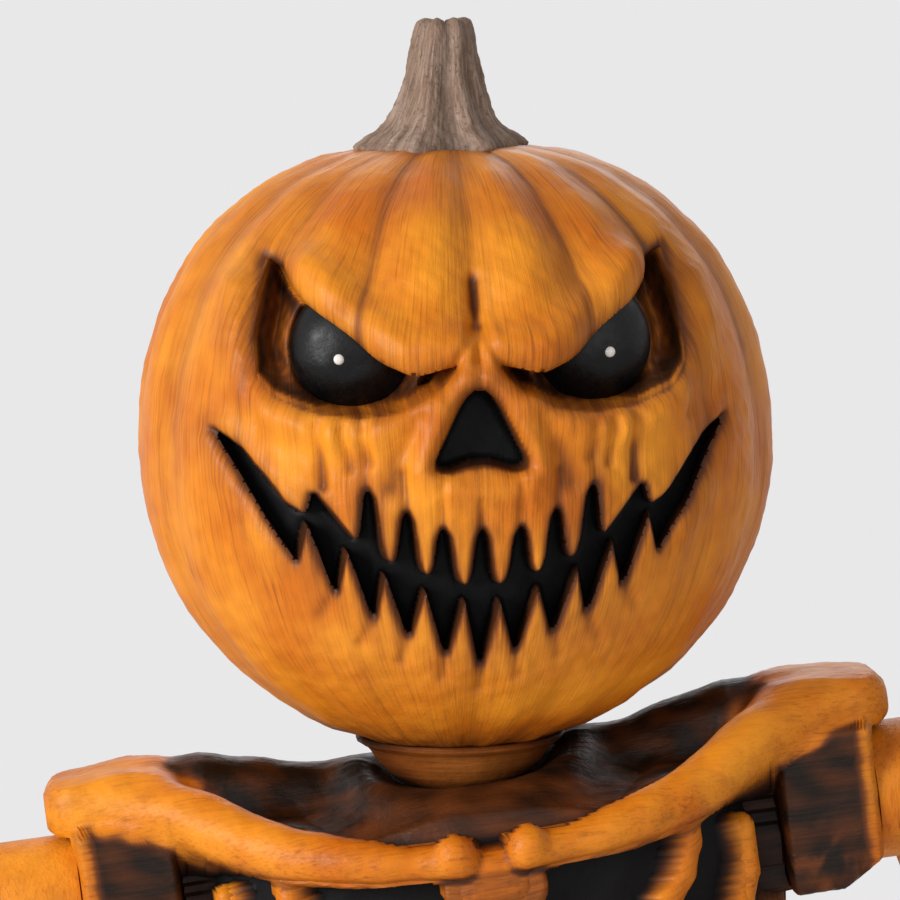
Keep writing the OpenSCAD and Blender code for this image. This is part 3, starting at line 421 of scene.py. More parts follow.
@dataclass(frozen=True)
class AntiquedPlastic:
    """Blow-moulded polyethylene, sprayed orange and antiqued by hand.

    A dark wash was brushed on and wiped off, so it stays as fine streaks along the brush, in the
    hollows and in a film that makes the orange uneven; a thin clear coat gives a soft sheen.
    """

    name: str
    light: str = "#ea9222"
    deep: str = "#c96a10"
    stain: str = "#83441a"         # the wash, and painted shade, where it is thin
    shade: str = "#2b1709"         # the wash, and painted shade, where it is thick
    streak: str = "#6b3710"
    smear: str = "#8f4f1a"
    strokes: Strokes = Strokes.FLOW
    streak_mm: float = 1.6         # spacing of brush hairs, drawn about as coarse as it shows
    streak_amount: float = 0.6
    roughness: float = 0.42
    black_roughness: float = 0.80  # of what is painted black
    shine: float = 0.20            # mirror share, 0.5 being plain plastic

    def orange(self, tree: Tree, hairs: Socket, broad: Socket, patchy: Socket) -> Socket:
        """Sprayed orange in two tones, with fine streaks in patches and broad smears over it.

        Args:
            tree: the material's node tree.
            hairs: noise as fine as brush hairs.
            broad: the same, six times as broad.
            patchy: noise of patches about 59 mm wide.

        Returns:
            The colour.
        """
        tint = add(tree, "MapRange", {"Value": patchy, "From Min": 0.36, "From Max": 0.66})
        colour = add(tree, "Mix", {FACTOR: tint, LOW: self.light, HIGH: self.deep}, MIXED, data_type="RGBA")
        thin = add(tree, "MapRange", {"Value": hairs, "From Min": 0.50, "From Max": 0.74})
        wide = add(tree, "MapRange", {"Value": broad, "From Min": 0.46, "From Max": 0.72})
        patch = add(tree, "MapRange", {
            "Value": patchy, "From Min": 0.40, "From Max": 0.62, "To Min": 0.35, "To Max": 1.0,
        })
        lines = add(tree, "Math", {0: thin, 1: patch}, operation="MULTIPLY", use_clamp=True)
        lines = add(tree, "Math", {0: lines, 1: self.streak_amount}, operation="MULTIPLY", use_clamp=True)
        colour = add(tree, "Mix", {FACTOR: lines, LOW: colour, HIGH: self.streak}, MIXED, data_type="RGBA")
        film = 0.30 * self.streak_amount
        film = add(tree, "Math", {0: wide, 1: film}, operation="MULTIPLY", use_clamp=True)
        return add(tree, "Mix", {FACTOR: film, LOW: colour, HIGH: self.smear}, MIXED, data_type="RGBA")

    def wash(self, tree: Tree, hairs: Socket, broad: Socket) -> Socket:
        """The piece's wash mask, which on some pieces also carries painted shade, made ragged where it is
        part way between none and all.

        Args:
            tree: the material's node tree.
            hairs: noise as fine as brush hairs.
            broad: the same, six times as broad.

        Returns:
            How thick the wash and the painted shade lie, from 0 to 1.
        """
        mask = add(tree, "Attribute", give="Fac", attribute_name="wash")
        uneven = add(tree, "MapRange", {
            "Value": broad, "From Min": 0.3, "From Max": 0.7, "To Min": -0.20, "To Max": 0.16,
        })
        fine = add(tree, "MapRange", {
            "Value": hairs, "From Min": 0.3, "From Max": 0.7, "To Min": -0.12, "To Max": 0.10,
        })
        ragged = add(tree, "Math", {0: uneven, 1: fine}, operation="ADD")
        clear = add(tree, "Math", {0: 1.15, 1: mask}, operation="SUBTRACT", use_clamp=True)
        some = add(tree, "Math", {0: mask, 1: 2.4}, operation="MULTIPLY", use_clamp=True)
        edge = add(tree, "Math", {0: some, 1: clear}, operation="MULTIPLY", use_clamp=True)
        ragged = add(tree, "Math", {0: ragged, 1: edge}, operation="MULTIPLY")
        return add(tree, "Math", {0: mask, 1: ragged}, operation="ADD", use_clamp=True)

    def build(self) -> bpy.types.Material:
        """Returns the node material: orange, then the wash and painted shade in two depths, then what is
        painted black.
        """
        material, tree, shader = blank(self.name)
        place = add(tree, "TexCoord", give="Object")
        if self.strokes is Strokes.FLOW:
            along = add(tree, "Attribute", give="Vector", attribute_name="flow")
        else:
            along = add(tree, "Mapping", {"Vector": place, "Scale": (1.0, 1.0, 0.045)})
        rate = 1000 / self.streak_mm
        hairs = add(tree, "TexNoise", {"Vector": along, "Scale": rate, "Detail": 3.0, "Roughness": 0.65})
        broad = add(tree, "TexNoise", {"Vector": along, "Scale": rate / 6, "Detail": 2.0, "Roughness": 0.5})
        patchy = add(tree, "TexNoise", {"Vector": place, "Scale": 17.0, "Detail": 3.0, "Roughness": 0.6})
        grime = add(tree, "TexNoise", {"Vector": place, "Scale": 300.0, "Detail": 4.0, "Roughness": 0.7})
        wash = self.wash(tree, hairs, broad)
        thin = add(tree, "MapRange", {"Value": wash, "From Min": 0.0, "From Max": 0.62})
        thick = add(tree, "MapRange", {"Value": wash, "From Min": 0.30, "From Max": 0.95})
        colour = self.orange(tree, hairs, broad, patchy)
        colour = add(tree, "Mix", {FACTOR: thin, LOW: colour, HIGH: self.stain}, MIXED, data_type="RGBA")
        colour = add(tree, "Mix", {FACTOR: thick, LOW: colour, HIGH: self.shade}, MIXED, data_type="RGBA")
        black = add(tree, "Attribute", give="Fac", attribute_name="black")
        specks = add(tree, "MapRange", {"Value": grime, "From Min": 0.60, "From Max": 0.72})
        coal = add(tree, "Mix", {FACTOR: specks, LOW: "#050404", HIGH: "#12100e"}, MIXED, data_type="RGBA")
        colour = add(tree, "Mix", {FACTOR: black, LOW: colour, HIGH: coal}, MIXED, data_type="RGBA")
        rough = add(tree, "MapRange", {
            "Value": hairs, "From Min": 0.3, "From Max": 0.7,
            "To Min": self.roughness - 0.07, "To Max": self.roughness + 0.12,
        })
        rough = add(tree, "Mix", {FACTOR: black, LOW_NUMBER: rough, HIGH_NUMBER: self.black_roughness})
        height = add(tree, "Math", {0: hairs, 1: grime}, operation="ADD")
        bump = add(tree, "Bump", {"Height": height, "Strength": 0.42, "Distance": 0.0010})
        feed(shader, {
            "Base Color": colour, "Roughness": rough, "Normal": bump,
            "Specular IOR Level": self.shine, "Coat Weight": 0.05, "Coat Roughness": 0.30, "IOR": 1.46,
        })
        return material


@dataclass(frozen=True)
class MouldedPlastic:
    """Injection-moulded ABS in its own colour, with the fine spark-eroded grain of the mould."""

    name: str
    colour: str
    variation: str
    roughness: float = 0.45
    grain_mm: float = 0.8          # drawn coarser than spark erosion so that it shows
    coat: float = 0.0

    def build(self) -> bpy.types.Material:
        """Returns the node material; patches 25 mm wide vary the colour and the gloss a little."""
        material, tree, shader = blank(self.name)
        place = add(tree, "TexCoord", give="Object")
        grain = add(tree, "TexNoise", {"Vector": place, "Scale": 1000 / self.grain_mm, "Detail": 2.0})
        cloud = add(tree, "TexNoise", {"Vector": place, "Scale": 40.0, "Detail": 4.0, "Roughness": 0.6})
        tint = add(tree, "MapRange", {"Value": cloud, "From Min": 0.35, "From Max": 0.7})
        tones = {FACTOR: tint, LOW: self.colour, HIGH: self.variation}
        tone = add(tree, "Mix", tones, MIXED, data_type="RGBA")
        rough = add(tree, "MapRange", {
            "Value": cloud, "From Min": 0.3, "From Max": 0.7,
            "To Min": self.roughness - 0.06, "To Max": self.roughness + 0.08,
        })
        bump = add(tree, "Bump", {"Height": grain, "Strength": 0.25, "Distance": 0.0003})
        feed(shader, {
            "Base Color": tone, "Roughness": rough, "Normal": bump,
            "Coat Weight": self.coat, "Coat Roughness": 0.15, "IOR": 1.53,
        })
        return material


@dataclass(frozen=True)
class DrawnSteel:
    """Zinc-plated or drawn steel: a grey metal with fine lines from drawing and turning."""

    name: str
    colour: str = "#b4b5b6"
    shadow: str = "#8d8e90"
    roughness: float = 0.34

    def build(self) -> bpy.types.Material:
        """Returns the node material; its lines lie 0.7 mm apart, coarse enough to show."""
        material, tree, shader = blank(self.name)
        place = add(tree, "TexCoord", give="Object")
        drawn = add(tree, "Mapping", {"Vector": place, "Scale": (1.0, 1.0, 0.05)})
        lines = add(tree, "TexNoise", {"Vector": drawn, "Scale": 1400.0, "Detail": 2.0})
        rough = add(tree, "MapRange", {
            "Value": lines, "From Min": 0.3, "From Max": 0.7,
            "To Min": self.roughness - 0.08, "To Max": self.roughness + 0.1,
        })
        tone = add(tree, "Mix", {FACTOR: lines, LOW: self.colour, HIGH: self.shadow}, MIXED, data_type="RGBA")
        feed(shader, {"Base Color": tone, "Metallic": 1.0, "Roughness": rough})
        return material


@dataclass(frozen=True)
class RibbedStem:
    """Rigid polyurethane cast from a dried pumpkin stalk, painted grey-tan and washed with umber."""

    name: str = "cast_stalk_paint"
    fibres: tuple[tuple[float, str], ...] = (
        (0.30, "#5d4a3b"), (0.48, "#8e7462"), (0.62, "#a89080"), (0.78, "#b9a493"),
    )

    def build(self) -> bpy.types.Material:
        """Returns the node material; fibres run along the flow attribute and cork specks over them."""
        material, tree, shader = blank(self.name)
        place = add(tree, "TexCoord", give="Object")
        along = add(tree, "Attribute", give="Vector", attribute_name="flow")
        wash = add(tree, "Attribute", give="Fac", attribute_name="wash")
        fibre = add(tree, "TexNoise", {"Vector": along, "Scale": 700.0, "Detail": 4.0, "Roughness": 0.7})
        cork = add(tree, "TexNoise", {"Vector": place, "Scale": 420.0, "Detail": 4.0, "Roughness": 0.7})
        cloud = add(tree, "TexNoise", {"Vector": place, "Scale": 60.0, "Detail": 3.0})
        skin = add(tree, "ValToRGB", {"Fac": fibre})
        marks = skin.node.color_ramp.elements
        while len(marks) < len(self.fibres):
            marks.new(0.5)
        for mark, (at, code) in zip(marks, self.fibres):
            mark.position = at
            mark.color = srgb(code)
        weathered = add(tree, "MapRange", {
            "Value": cloud, "From Min": 0.4, "From Max": 0.7, "To Min": 0.0, "To Max": 0.5,
        })
        skin = add(tree, "Mix", {FACTOR: weathered, LOW: skin, HIGH: "#7a5c45"}, MIXED, data_type="RGBA")
        specks = add(tree, "MapRange", {
            "Value": cork, "From Min": 0.56, "From Max": 0.68, "To Min": 0.0, "To Max": 0.75,
        })
        skin = add(tree, "Mix", {FACTOR: specks, LOW: skin, HIGH: "#4c3a2e"}, MIXED, data_type="RGBA")
        skin = add(tree, "Mix", {FACTOR: wash, LOW: skin, HIGH: "#2e211a"}, MIXED, data_type="RGBA")
        height = add(tree, "Math", {0: fibre, 1: cork}, operation="ADD")
        bump = add(tree, "Bump", {"Height": height, "Strength": 0.7, "Distance": 0.0012})
        feed(shader, {"Base Color": skin, "Roughness": 0.78, "Normal": bump, "IOR": 1.5})
        return material


@dataclass(frozen=True)
class EyeLacquer:
    """Thermoformed acrylic dome, lacquered black: a soft orange-peel gloss with dust nibs in it."""

    name: str = "black_eye_lacquer"

    def build(self) -> bpy.types.Material:
        """Returns the node material; the peel's bumps are 4 mm wide and the nibs 1 mm."""
        material, tree, shader = blank(self.name)
        place = add(tree, "TexCoord", give="Object")
        peel = add(tree, "TexNoise", {"Vector": place, "Scale": 260.0, "Detail": 3.0, "Roughness": 0.6})
        nibs = add(tree, "TexNoise", {"Vector": place, "Scale": 1100.0, "Detail": 2.0})
        dust = add(tree, "MapRange", {"Value": nibs, "From Min": 0.64, "From Max": 0.72})
        tone = add(tree, "Mix", {FACTOR: dust, LOW: "#040404", HIGH: "#1a1919"}, MIXED, data_type="RGBA")
        rough = add(tree, "MapRange", {
            "Value": peel, "From Min": 0.3, "From Max": 0.7, "To Min": 0.34, "To Max": 0.50,
        })
        bump = add(tree, "Bump", {"Height": peel, "Strength": 0.35, "Distance": 0.0008})
        feed(shader, {
            "Base Color": tone, "Roughness": rough, "Normal": bump, "IOR": 1.49, "Specular IOR Level": 0.26,
        })
        return material


# ---------------------------------------------------------------- dressing


def dress(piece: bpy.types.Object, material: bpy.types.Material, body: str, slot: str, *nodes: str) -> None:
    """Gives a piece its finish and its body, hides the CAD nodes that it stands for, and reports it.

    Args:
        piece: the finished mesh.
        material: its finish.
        body: the body that it moves with.
        slot: not used.
        nodes: the CAD nodes that it replaces.
    """
    piece.data.materials.append(material)
    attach(piece, body)
    if nodes:
        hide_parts(*nodes)
    LOG.info("%s on %s: %d faces", piece.name, body, len(piece.data.polygons))


# ---------------------------------------------------------------- head


@dataclass(frozen=True)
class Crease:
    """A ridge or furrow of the face along a line drawn from the front, for the left half."""

    line: tuple[tuple[float, float], ...]
    height: float              # outwards; a furrow is negative
    width: float
    both: bool = True

    def relief(self, p: Array) -> Array:
        """Outward displacement at points (x, z): height times exp(-(distance / width)^2)."""
        aside = line_distance(folded(p) if self.both else p, np.array(self.line, float))
        return self.height * np.exp(-((aside / self.width) ** 2))


# Points of the face seen from the front, as (side, level) from the head's middle, for its left half.
UPPER_GAPS = ((0, -22), (18, -21), (34.5, -13.5), (52, -3), (75, -5))
UPPER_TIPS = ((8, -48.5), (25, -43.5), (41, -37.5), (57, -27), (80.5, -15))
LOWER_GAPS = ((83, -38), (66, -52), (49, -63.5), (33, -73), (16, -82), (0, -88))
LOWER_TIPS = ((78.5, -20), (61, -32), (44, -43), (26, -51), (8, -56))
CORNER = ((87, -10), (96, 2), (106, 13), (119, 22), (115, 13), (111, 6), (104, -6), (97, -18), (90, -28))
BROW = ((9, 52), (17, 50), (29, 47), (43, 53), (58, 65), (74, 78), (93, 101))
RIM = (
    (93, 101), (99, 82), (101.5, 62), (100, 46), (91, 37), (72, 31), (52, 29.5), (34, 32), (19, 40), (9, 52),
)
NOSE = ((0, 41), (5, 39.5), (9.5, 33), (14.5, 23), (21, 9.5), (20.5, 5.5), (15, 4.5), (7, 7.5), (0, 8.5))
# Flanks of an upper and of a lower tooth, as shares of the way across and up or down to its tip.
FINGER = ((0.32, 0.12), (0.46, 0.42), (0.58, 0.74), (0.76, 0.94))
THORN = ((0.20, 0.10), (0.38, 0.31), (0.70, 0.66), (0.88, 0.86))
# Each opening, how far from its edge the skin starts to round over, and how deep.
LIPS = (("mouth", 3.6, 2.6), ("nose", 5.0, 3.4), ("socket", 4.5, 2.2))
CREASES = (
    Crease(((8, 60), (20, 59), (31, 58), (41, 64), (55, 76), (72, 92)), 6.5, 10),
    Crease(((0, 88), (0, 54)), -3.4, 3.2, both=False),
    Crease(((21, 43), (11, 50), (5.5, 58), (2.5, 68)), -2.6, 2.4),
    Crease(((0, 56), (0, 44)), 2.5, 9, both=False),
    Crease(((6, 44), (15, 33), (23, 17), (27, 5), (18, -4), (0, -5)), 3.8, 6.5),
    Crease(((24, 35), (35, 25), (52, 21), (72, 22), (92, 28), (107, 42), (109, 62), (105, 84)), 3.4, 7),
    Crease(((29, 28), (36, 12), (40, -2)), -2.6, 5),
    Crease(((72, 25), (71, -2)), -3.2, 2.8),
    Crease(((61, 24), (59, 6)), -2.8, 2.4),
    Crease(((52, 24), (50, 9)), -2.2, 2.4),
    Crease(((66, 24), (65, 17)), 1.6, 4.0),
    Crease(((102, 40), (99, 24)), -2.0, 3.0),
    Crease(((18, -20), (18, -2)), -2.0, 2.6),
    Crease(((34.5, -13), (35, 4)), -2.0, 2.6),
    Crease(((52, -2), (53, 16)), -1.8, 2.6),
    Crease(((0, -21), (0, -9)), -2.0, 2.6, both=False),
    Crease(((16, -82), (17, -93)), -1.6, 2.8),
    Crease(((33, -73), (36, -85)), -1.6, 2.8),
    Crease(((49, -64), (54, -76)), -1.6, 2.8),
    Crease(((66, -52), (72, -63)), -1.6, 2.8),
    Crease(((0, -88), (0, -100)), -1.6, 2.8, both=False),
    Crease(((112, 24), (100, 4), (88, -14)), 1.8, 5),
    Crease(((122, 14), (107, -14), (92, -38)), 1.6, 5),
)


def flank(
    gap: tuple[float, float], tip: tuple[float, float], steps: tuple[tuple[float, float], ...]
) -> list[tuple[float, float]]:
    """Points of a tooth's flank.

    Args:
        gap: the gap beside the tooth.
        tip: the tooth's tip.
        steps: shares of the way from gap to tip, across and up or down.

    Returns:
        A point for each step.
    """
    a, b = np.array(gap, float), np.array(tip, float)
    return [tuple(a + (b - a) * step) for step in steps]


@dataclass
class PumpkinHead:
    """The hollow pumpkin with its carved face, its stem, its neck bowl and the two eyes."""

    width: float = 302.0
    up: float = 147.0
    down: float = 145.0
    upper_bend: float = 2.3        # superellipse exponents of the outline
    lower_bend: float = 2.0
    lobes: int = 16
    groove: float = 6.0
    lean: float = 6.0              # degrees to the left
    above_ball: float = 121.0
    ball: float = 1351.0           # height of the neck ball's centre
    mouth_depth: float = 17.0
    wall_run: float = 1.1          # slope of an opening's wall, seen from the front
    socket_depth: float = 33.0
    lid_high: float = 8.0          # ridge round the eyeball
    eye: tuple[float, float, float] = (53.0, -101.0, 57.0)
    eye_r: float = 29.0
    eye_bulge: float = 22.5
    light: tuple[float, float] = (8.0, -3.0)   # side and level of the light from the eye's middle
    light_r: float = 2.5
    stem_foot: float = 139.0       # level of the stem's foot

    def world(self, p: Array) -> Array:
        """Turns points of the head's own frame into the figure's: the lean, then the lift to the ball.

        Args:
            p: points about the head's middle, last axis x, y, z.

        Returns:
            The same points in the figure's frame.
        """
        a = math.radians(self.lean)
        turn = np.array([[math.cos(a), 0, math.sin(a)], [0, 1, 0], [-math.sin(a), 0, math.cos(a)]])
        return (p + np.array([0, 0, self.above_ball])) @ turn.T + np.array([0, 0, self.ball])

    def outline(self, rise: Array) -> tuple[Array, Array]:
        """The superellipse's exponent and height, which differ above and below the widest level."""
        return np.where(rise > 0, self.upper_bend, self.lower_bend), np.where(rise > 0, self.up, self.down)

    def section(self, level: Array) -> tuple[Array, Array]:
        """The head's outline, a superellipse: reach w cos^(2/n), height h sin^(2/n).

        Args:
            level: angles above the widest level, in radians.

        Returns:
            Reach from the axis and height at each angle.
        """
        n, tall = self.outline(level)
        reach = self.width / 2 * np.abs(np.cos(level)) ** (2 / n)
        return reach, np.sign(level) * tall * np.abs(np.sin(level)) ** (2 / n)

    def mouth(self) -> Array:
        """Outline of the mouth: rounded fingers of teeth above, thorns below, mirrored to both sides."""
        half: list[tuple[float, float]] = []
        for i, (gap, tip) in enumerate(zip(UPPER_GAPS, UPPER_TIPS)):
            half += [gap, *flank(gap, tip, FINGER), tip]
            if i < len(UPPER_GAPS) - 2:  # the outermost tooth runs straight to its gap
                half += flank(UPPER_GAPS[i + 1], tip, FINGER)[::-1]
        half += CORNER
        for gap, tip, after in zip(LOWER_GAPS, LOWER_TIPS, LOWER_GAPS[1:]):
            half += [gap, *flank(gap, tip, THORN), tip, *flank(after, tip, THORN)[::-1]]
        points = np.array(half + [LOWER_GAPS[-1]], float)
        return rounded(np.vstack([points, points[1:-1][::-1] * [-1, 1]]), 2.2)

    def nose(self) -> Array:
        """Outline of the nose hole."""
        points = np.array(NOSE, float)
        return rounded(np.vstack([points, points[1:-1][::-1] * [-1, 1]]), 3.0)

    def socket(self) -> Array:
        """Outline of the left eye socket: the brow above and the rim below."""
        return rounded(np.array(RIM[:-1] + BROW[:-1], float), 3.5)

    def openings(self, p: Array) -> dict[str, Array]:
        """Signed distances to the face's openings.

        Args:
            p: (n, 2) points seen from the front.

        Returns:
            (n,) distances for each opening, negative inside it.
        """
        return {
            "mouth": outline_distance(p, self.mouth()),
            "nose": outline_distance(p, self.nose()),
            "socket": outline_distance(folded(p), self.socket()),
        }

    def carved(self, p: Array) -> tuple[Array, dict[str, Array]]:
        """Depth cut into the face.

        Mouth and nose fall to their floor within a millimetre. A socket falls at once under the brow
        and over a bowl-shaped slope from its outer rim.

        Args:
            p: (n, 2) points seen from the front.

        Returns:
            (n,) depths, and the distances to the openings that they came from.
        """
        gap = self.openings(p)
        left = folded(p)
        depth = self.mouth_depth * smoothstep(0.0, self.wall_run, -gap["mouth"])
        depth = np.maximum(depth, self.mouth_depth * smoothstep(0.0, self.wall_run, -gap["nose"]))
        slope = 3.5 + 15.0 * smoothstep(60.0, 92.0, left[:, 0])
        rim = line_distance(left, np.array(RIM, float))
        brow = line_distance(left, np.array(BROW, float))
        bowl = np.sin(np.clip(rim / slope, 0, 1) * np.pi / 2) ** 1.25
        inside = gap["socket"] < 0
        lid = np.abs(np.hypot(left[:, 0] - self.eye[0], left[:, 1] - self.eye[2]) - self.eye_r - 1.5)
        floor = self.socket_depth * bowl - self.lid_high * bowl * np.exp(-((lid / 3.5) ** 2))
        depth = np.maximum(depth, np.where(inside, floor * smoothstep(0.0, 1.3, brow), 0.0))
        return depth, gap

    def snapped(self, p: Array) -> Array:
        """Moves points that lie close to an opening's edge, or to the foot of its wall, onto it.

        Each goes along the slope of its distance, which is found from two points a small step away.

        Args:
            p: (n, 2) points seen from the front.

        Returns:
            (n, 2) points, of which only those close to an edge have moved.
        """
        moved = p.copy()
        step = 0.05
        brow = line_distance(folded(p), np.array(BROW, float))
        gap, east, north = (self.openings(p + shift) for shift in ([0, 0], [step, 0], [0, step]))
        for key, d in gap.items():
            slope = np.stack([east[key] - d, north[key] - d], -1) / step
            slope /= np.maximum(np.linalg.norm(slope, axis=1, keepdims=True), 0.5)
            target = np.where(d > -self.wall_run / 2, 0.0, -self.wall_run)
            near = (d > -1.5 * self.wall_run) & (d < 0.5) & ((key != "socket") | (brow < 2.5))
            moved += np.where(near, target - d, 0.0)[:, None] * slope
        return moved

    def grid(self) -> tuple[Array, Array]:
        """Longitudes and latitudes in radians, close together over the face and evenly along the outline."""
        lon = np.radians(spread(-180, 180, -58, 58, 0.46, 2.2))[:-1]
        dense = np.radians(np.linspace(-89.2, 89.0, 6001))
        reach, rise = self.section(dense)
        run = np.concatenate([[0], np.cumsum(np.hypot(np.diff(reach), np.diff(rise)))])
        low, high = np.interp([-97, 106], rise, run)
        lat = np.interp(spread(0, run[-1], low, high, 1.17, 3.6), run, dense)
        return tuple(np.meshgrid(lon, lat))

    def relief(self, p: Array, gap: dict[str, Array]) -> Array:
        """Outward displacement of the face: the sum of its creases, less its openings' rounding.

        Args:
            p: (n, 2) points seen from the front.
            gap: their distances to each opening.

        Returns:
            (n,) displacements.
        """
        lift = sum(crease.relief(p) for crease in CREASES)
        lift *= smoothstep(-3.0, 1.0, np.minimum(gap["mouth"], gap["nose"]))
        for key, width, drop in LIPS:
            lip = np.clip(1 - np.abs(gap[key]) / width, 0, 1) ** 2
            lift -= drop * lip * smoothstep(-4.0, 0.0, gap[key])
        return lift

    def valleys(self, lon: Array, reach: Array, rise: Array, face: Array) -> tuple[Array, Array, Array]:
        """The valleys between lobes.

        Args:
            lon: longitudes in radians.
            reach: distances from the axis.
            rise: heights.
            face: 1 over the face, 0 elsewhere.

        Returns:
            exp(-(distance / width)^2) across each valley, the same across the fine line in it, and how
            strong both are: less low down, over the face and near the stem.
        """
        step = 2 * np.pi / self.lobes
        aside = np.abs(lon - np.round(lon / step) * step) * reach
        valley = np.exp(-((aside / (4.0 + 0.065 * reach)) ** 2))
        line = np.exp(-((aside / 2.2) ** 2))
        strength = (0.45 + 0.55 * smoothstep(-20, 55, rise)) * (1 - 0.85 * face) * np.minimum(1, reach / 60)
        return valley, line, strength

    def shell(self) -> bpy.types.Object:
        """The pumpkin's skin on a grid of longitude and latitude.

        The reach of each point is cut by groove exp(-(distance / width)^2) beside each valley between
        lobes. Ridges and furrows move it along its normal, and openings are cut straight back along +Y.
        """
        lon, lat = self.grid()
        reach, rise = self.section(lat)
        front = (np.cos(lon) > 0.35) & (rise > -104) & (rise < 110)
        p = self.snapped(np.stack([(reach * np.sin(lon))[front], rise[front]], -1))
        n, tall = self.outline(p[:, 1])
        lat[front] = np.sign(p[:, 1]) * np.arcsin(np.clip((np.abs(p[:, 1]) / tall) ** (n / 2), 0, 1))
        lon[front] = np.arcsin(np.clip(p[:, 0] / self.section(lat[front])[0], -1, 1))
        depth, gap = self.carved(p)
        reach, rise = self.section(lat)
        face, relief, carved = np.zeros((3, *lon.shape))
        side, level = np.abs(p[:, 0]), p[:, 1]
        face[front] = smoothstep(125, 85, side) * smoothstep(78, 50, level) * smoothstep(-110, -80, level)
        relief[front] = self.relief(p, gap)
        carved[front] = depth
        valley, line, strength = self.valleys(lon, reach, rise, face)
        inset = self.groove * (1.20 * valley + 0.06 * line) * strength * (0.85 + 0.25 * np.sin(3 * lon + 1.1))
        dimple = np.where(lat > 0, 8 * np.exp(-((reach / 34) ** 2)), 0)
        skin = np.stack([(reach - inset) * np.sin(lon), -(reach - inset) * np.cos(lon), rise - dimple], -1)
        out = skin / np.array([self.width / 2, self.width / 2, self.up]) ** 2
        out /= np.linalg.norm(out, axis=-1, keepdims=True)
        uneven = 0.5 * ripple(skin, 60, 3) + 0.22 * ripple(skin, 17, 5) - 0.3
        skin += out * (uneven + relief)[..., None]
        skin[..., 1] += carved
        wash = (0.20 * valley**2 + 0.10 * line) * strength * smoothstep(-60, 60, rise) + 0.06 * valley
        # Painted shade: 0.5 towards the head's underside, below 118 mm under its middle; then a darker ring
        # round the stem's foot.
        wash += 0.5 * smoothstep(-118, -142, rise) + 0.45 * np.exp(-np.abs(reach - 34) / 9) * (rise > 0)
        wash += np.clip(-relief, 0, 4) * 0.13
        away = {key: np.full(lon.shape, 99.0) for key in gap}
        for key in gap:
            away[key][front] = gap[key]
        for key, amount, fade in (("mouth", 0.5, 4.0), ("nose", 0.5, 4.5), ("socket", 0.35, 5.0)):
            wash += amount * np.exp(-np.clip(away[key], 0, None) / fade)
        # Inside each socket the skin darkens with depth towards the eyeball, most about 5 mm in from the rim.
        inward = np.clip(-away["socket"], 0, None)
        stain = 0.56 + 0.36 * np.exp(-(((inward - 5.0) / 4.5) ** 2)) + 0.10 * ripple(skin, 14, 9)
        wash = np.maximum(wash, smoothstep(0.5, 3.5, inward) * stain * smoothstep(1.0, 9.0, carved))
        black = np.where(np.minimum(away["mouth"], away["nose"]) < 0, smoothstep(2.0, 6.0, carved), 0.0)
        flow = np.stack([
            self.width / 2 * np.cos(lon), self.width / 2 * np.sin(lon),
            (np.degrees(lat) * 2.5 + 9 * np.sin(2 * lon)) * 0.045,
        ], -1) * MM
        masks = {"wash": np.clip(wash, 0, 1), "black": black}
        return write_mesh("pumpkin_shell", self.world(skin), masks, flow=flow)

    def stem(self) -> bpy.types.Object:
        """The stalk: a profile turned round its axis, with nine ribs that flare into toes at the base."""
        profile = np.array([
            [30, -3], [37.5, 1.5], [38, 4.5], [34.5, 8], [29, 12], [25, 18], [21.4, 26], [19, 34], [17.3, 41],
            [16, 48], [15.2, 53], [14.6, 56.6], [12.8, 59.8], [9.5, 61.4], [5, 60.4], [1, 59.8],
        ])
        kernel = np.hanning(13) / np.hanning(13).sum()
        smooth = (np.convolve(np.pad(v, 6, mode="edge"), kernel, "valid") for v in resampled(profile, 150))
        r, h = smooth
        turn = np.radians(np.arange(0, 360, 1.5))
        a, rr = np.meshgrid(turn, r)
        hh = np.broadcast_to(h[:, None], rr.shape)
        ribs = np.radians([-158, -118, -78, -48, -20, 27, 62, 101, 143])
        tall = np.array([0.9, 0.8, 1.0, 0.7, 1.0, 1.1, 0.75, 1.0, 0.8])
        bent = a + 0.10 * np.sin(hh / 26.0)
        off = np.angle(np.exp(1j * (bent[..., None] - ribs)))
        ridge = (tall * np.exp(-((off / 0.24) ** 2))).sum(-1)
        toe = smoothstep(16, 2, hh)
        rr = rr * (0.86 + (0.16 + 0.10 * toe) * ridge)
        rr = rr + 0.5 * np.sin(9 * bent + hh / 7) * smoothstep(70, 40, hh)
        p = np.stack([rr * np.sin(a), -rr * np.cos(a), hh], -1)
        p[..., 2] += 2.2 * ridge * smoothstep(55, 60, hh) - 2.0 * smoothstep(11, 0, hh) * (1 - ridge)
        p += (0.35 * ripple(p, 9, 11) + 0.2 * ripple(p, 4, 12))[..., None] * p * [1 / 30, 1 / 30, 0]
        p[..., 0] += -3.5 + 0.05 * hh
        wash = 0.75 * np.clip(1 - ridge * 1.5, 0, 1) + 0.3 * smoothstep(8, 0, hh)
        flow = np.stack([20 * np.sin(a), 20 * np.cos(a), hh * 0.10], -1) * MM
        p[..., 2] += self.stem_foot
        return write_mesh("stem_stalk", self.world(p), {"wash": wash * 0.8}, flow=flow)

    def eyeball(self, side: int) -> bpy.types.Object:
        """A domed eye: the front of a squashed sphere on rings round the viewing axis, with a flat back.

        Args:
            side: 1 for the figure's left, -1 for its right.

        Returns:
            The eye.
        """
        a, t = np.meshgrid(np.radians(np.arange(0, 360, 4)), np.radians(np.linspace(0.5, 118, 70)))
        r = self.eye_r * np.sin(t) ** 0.96
        p = np.stack([r * np.cos(a), -self.eye_bulge * np.cos(t), r * np.sin(a)], -1)
        p += (0.25 * ripple(p, 30, 20 + side))[..., None] * np.array([0, -1, 0])
        p += np.array(self.eye) * [side, 1, 1]
        return write_mesh(f"eye_dome_{'left' if side > 0 else 'right'}", self.world(p)[::-1])

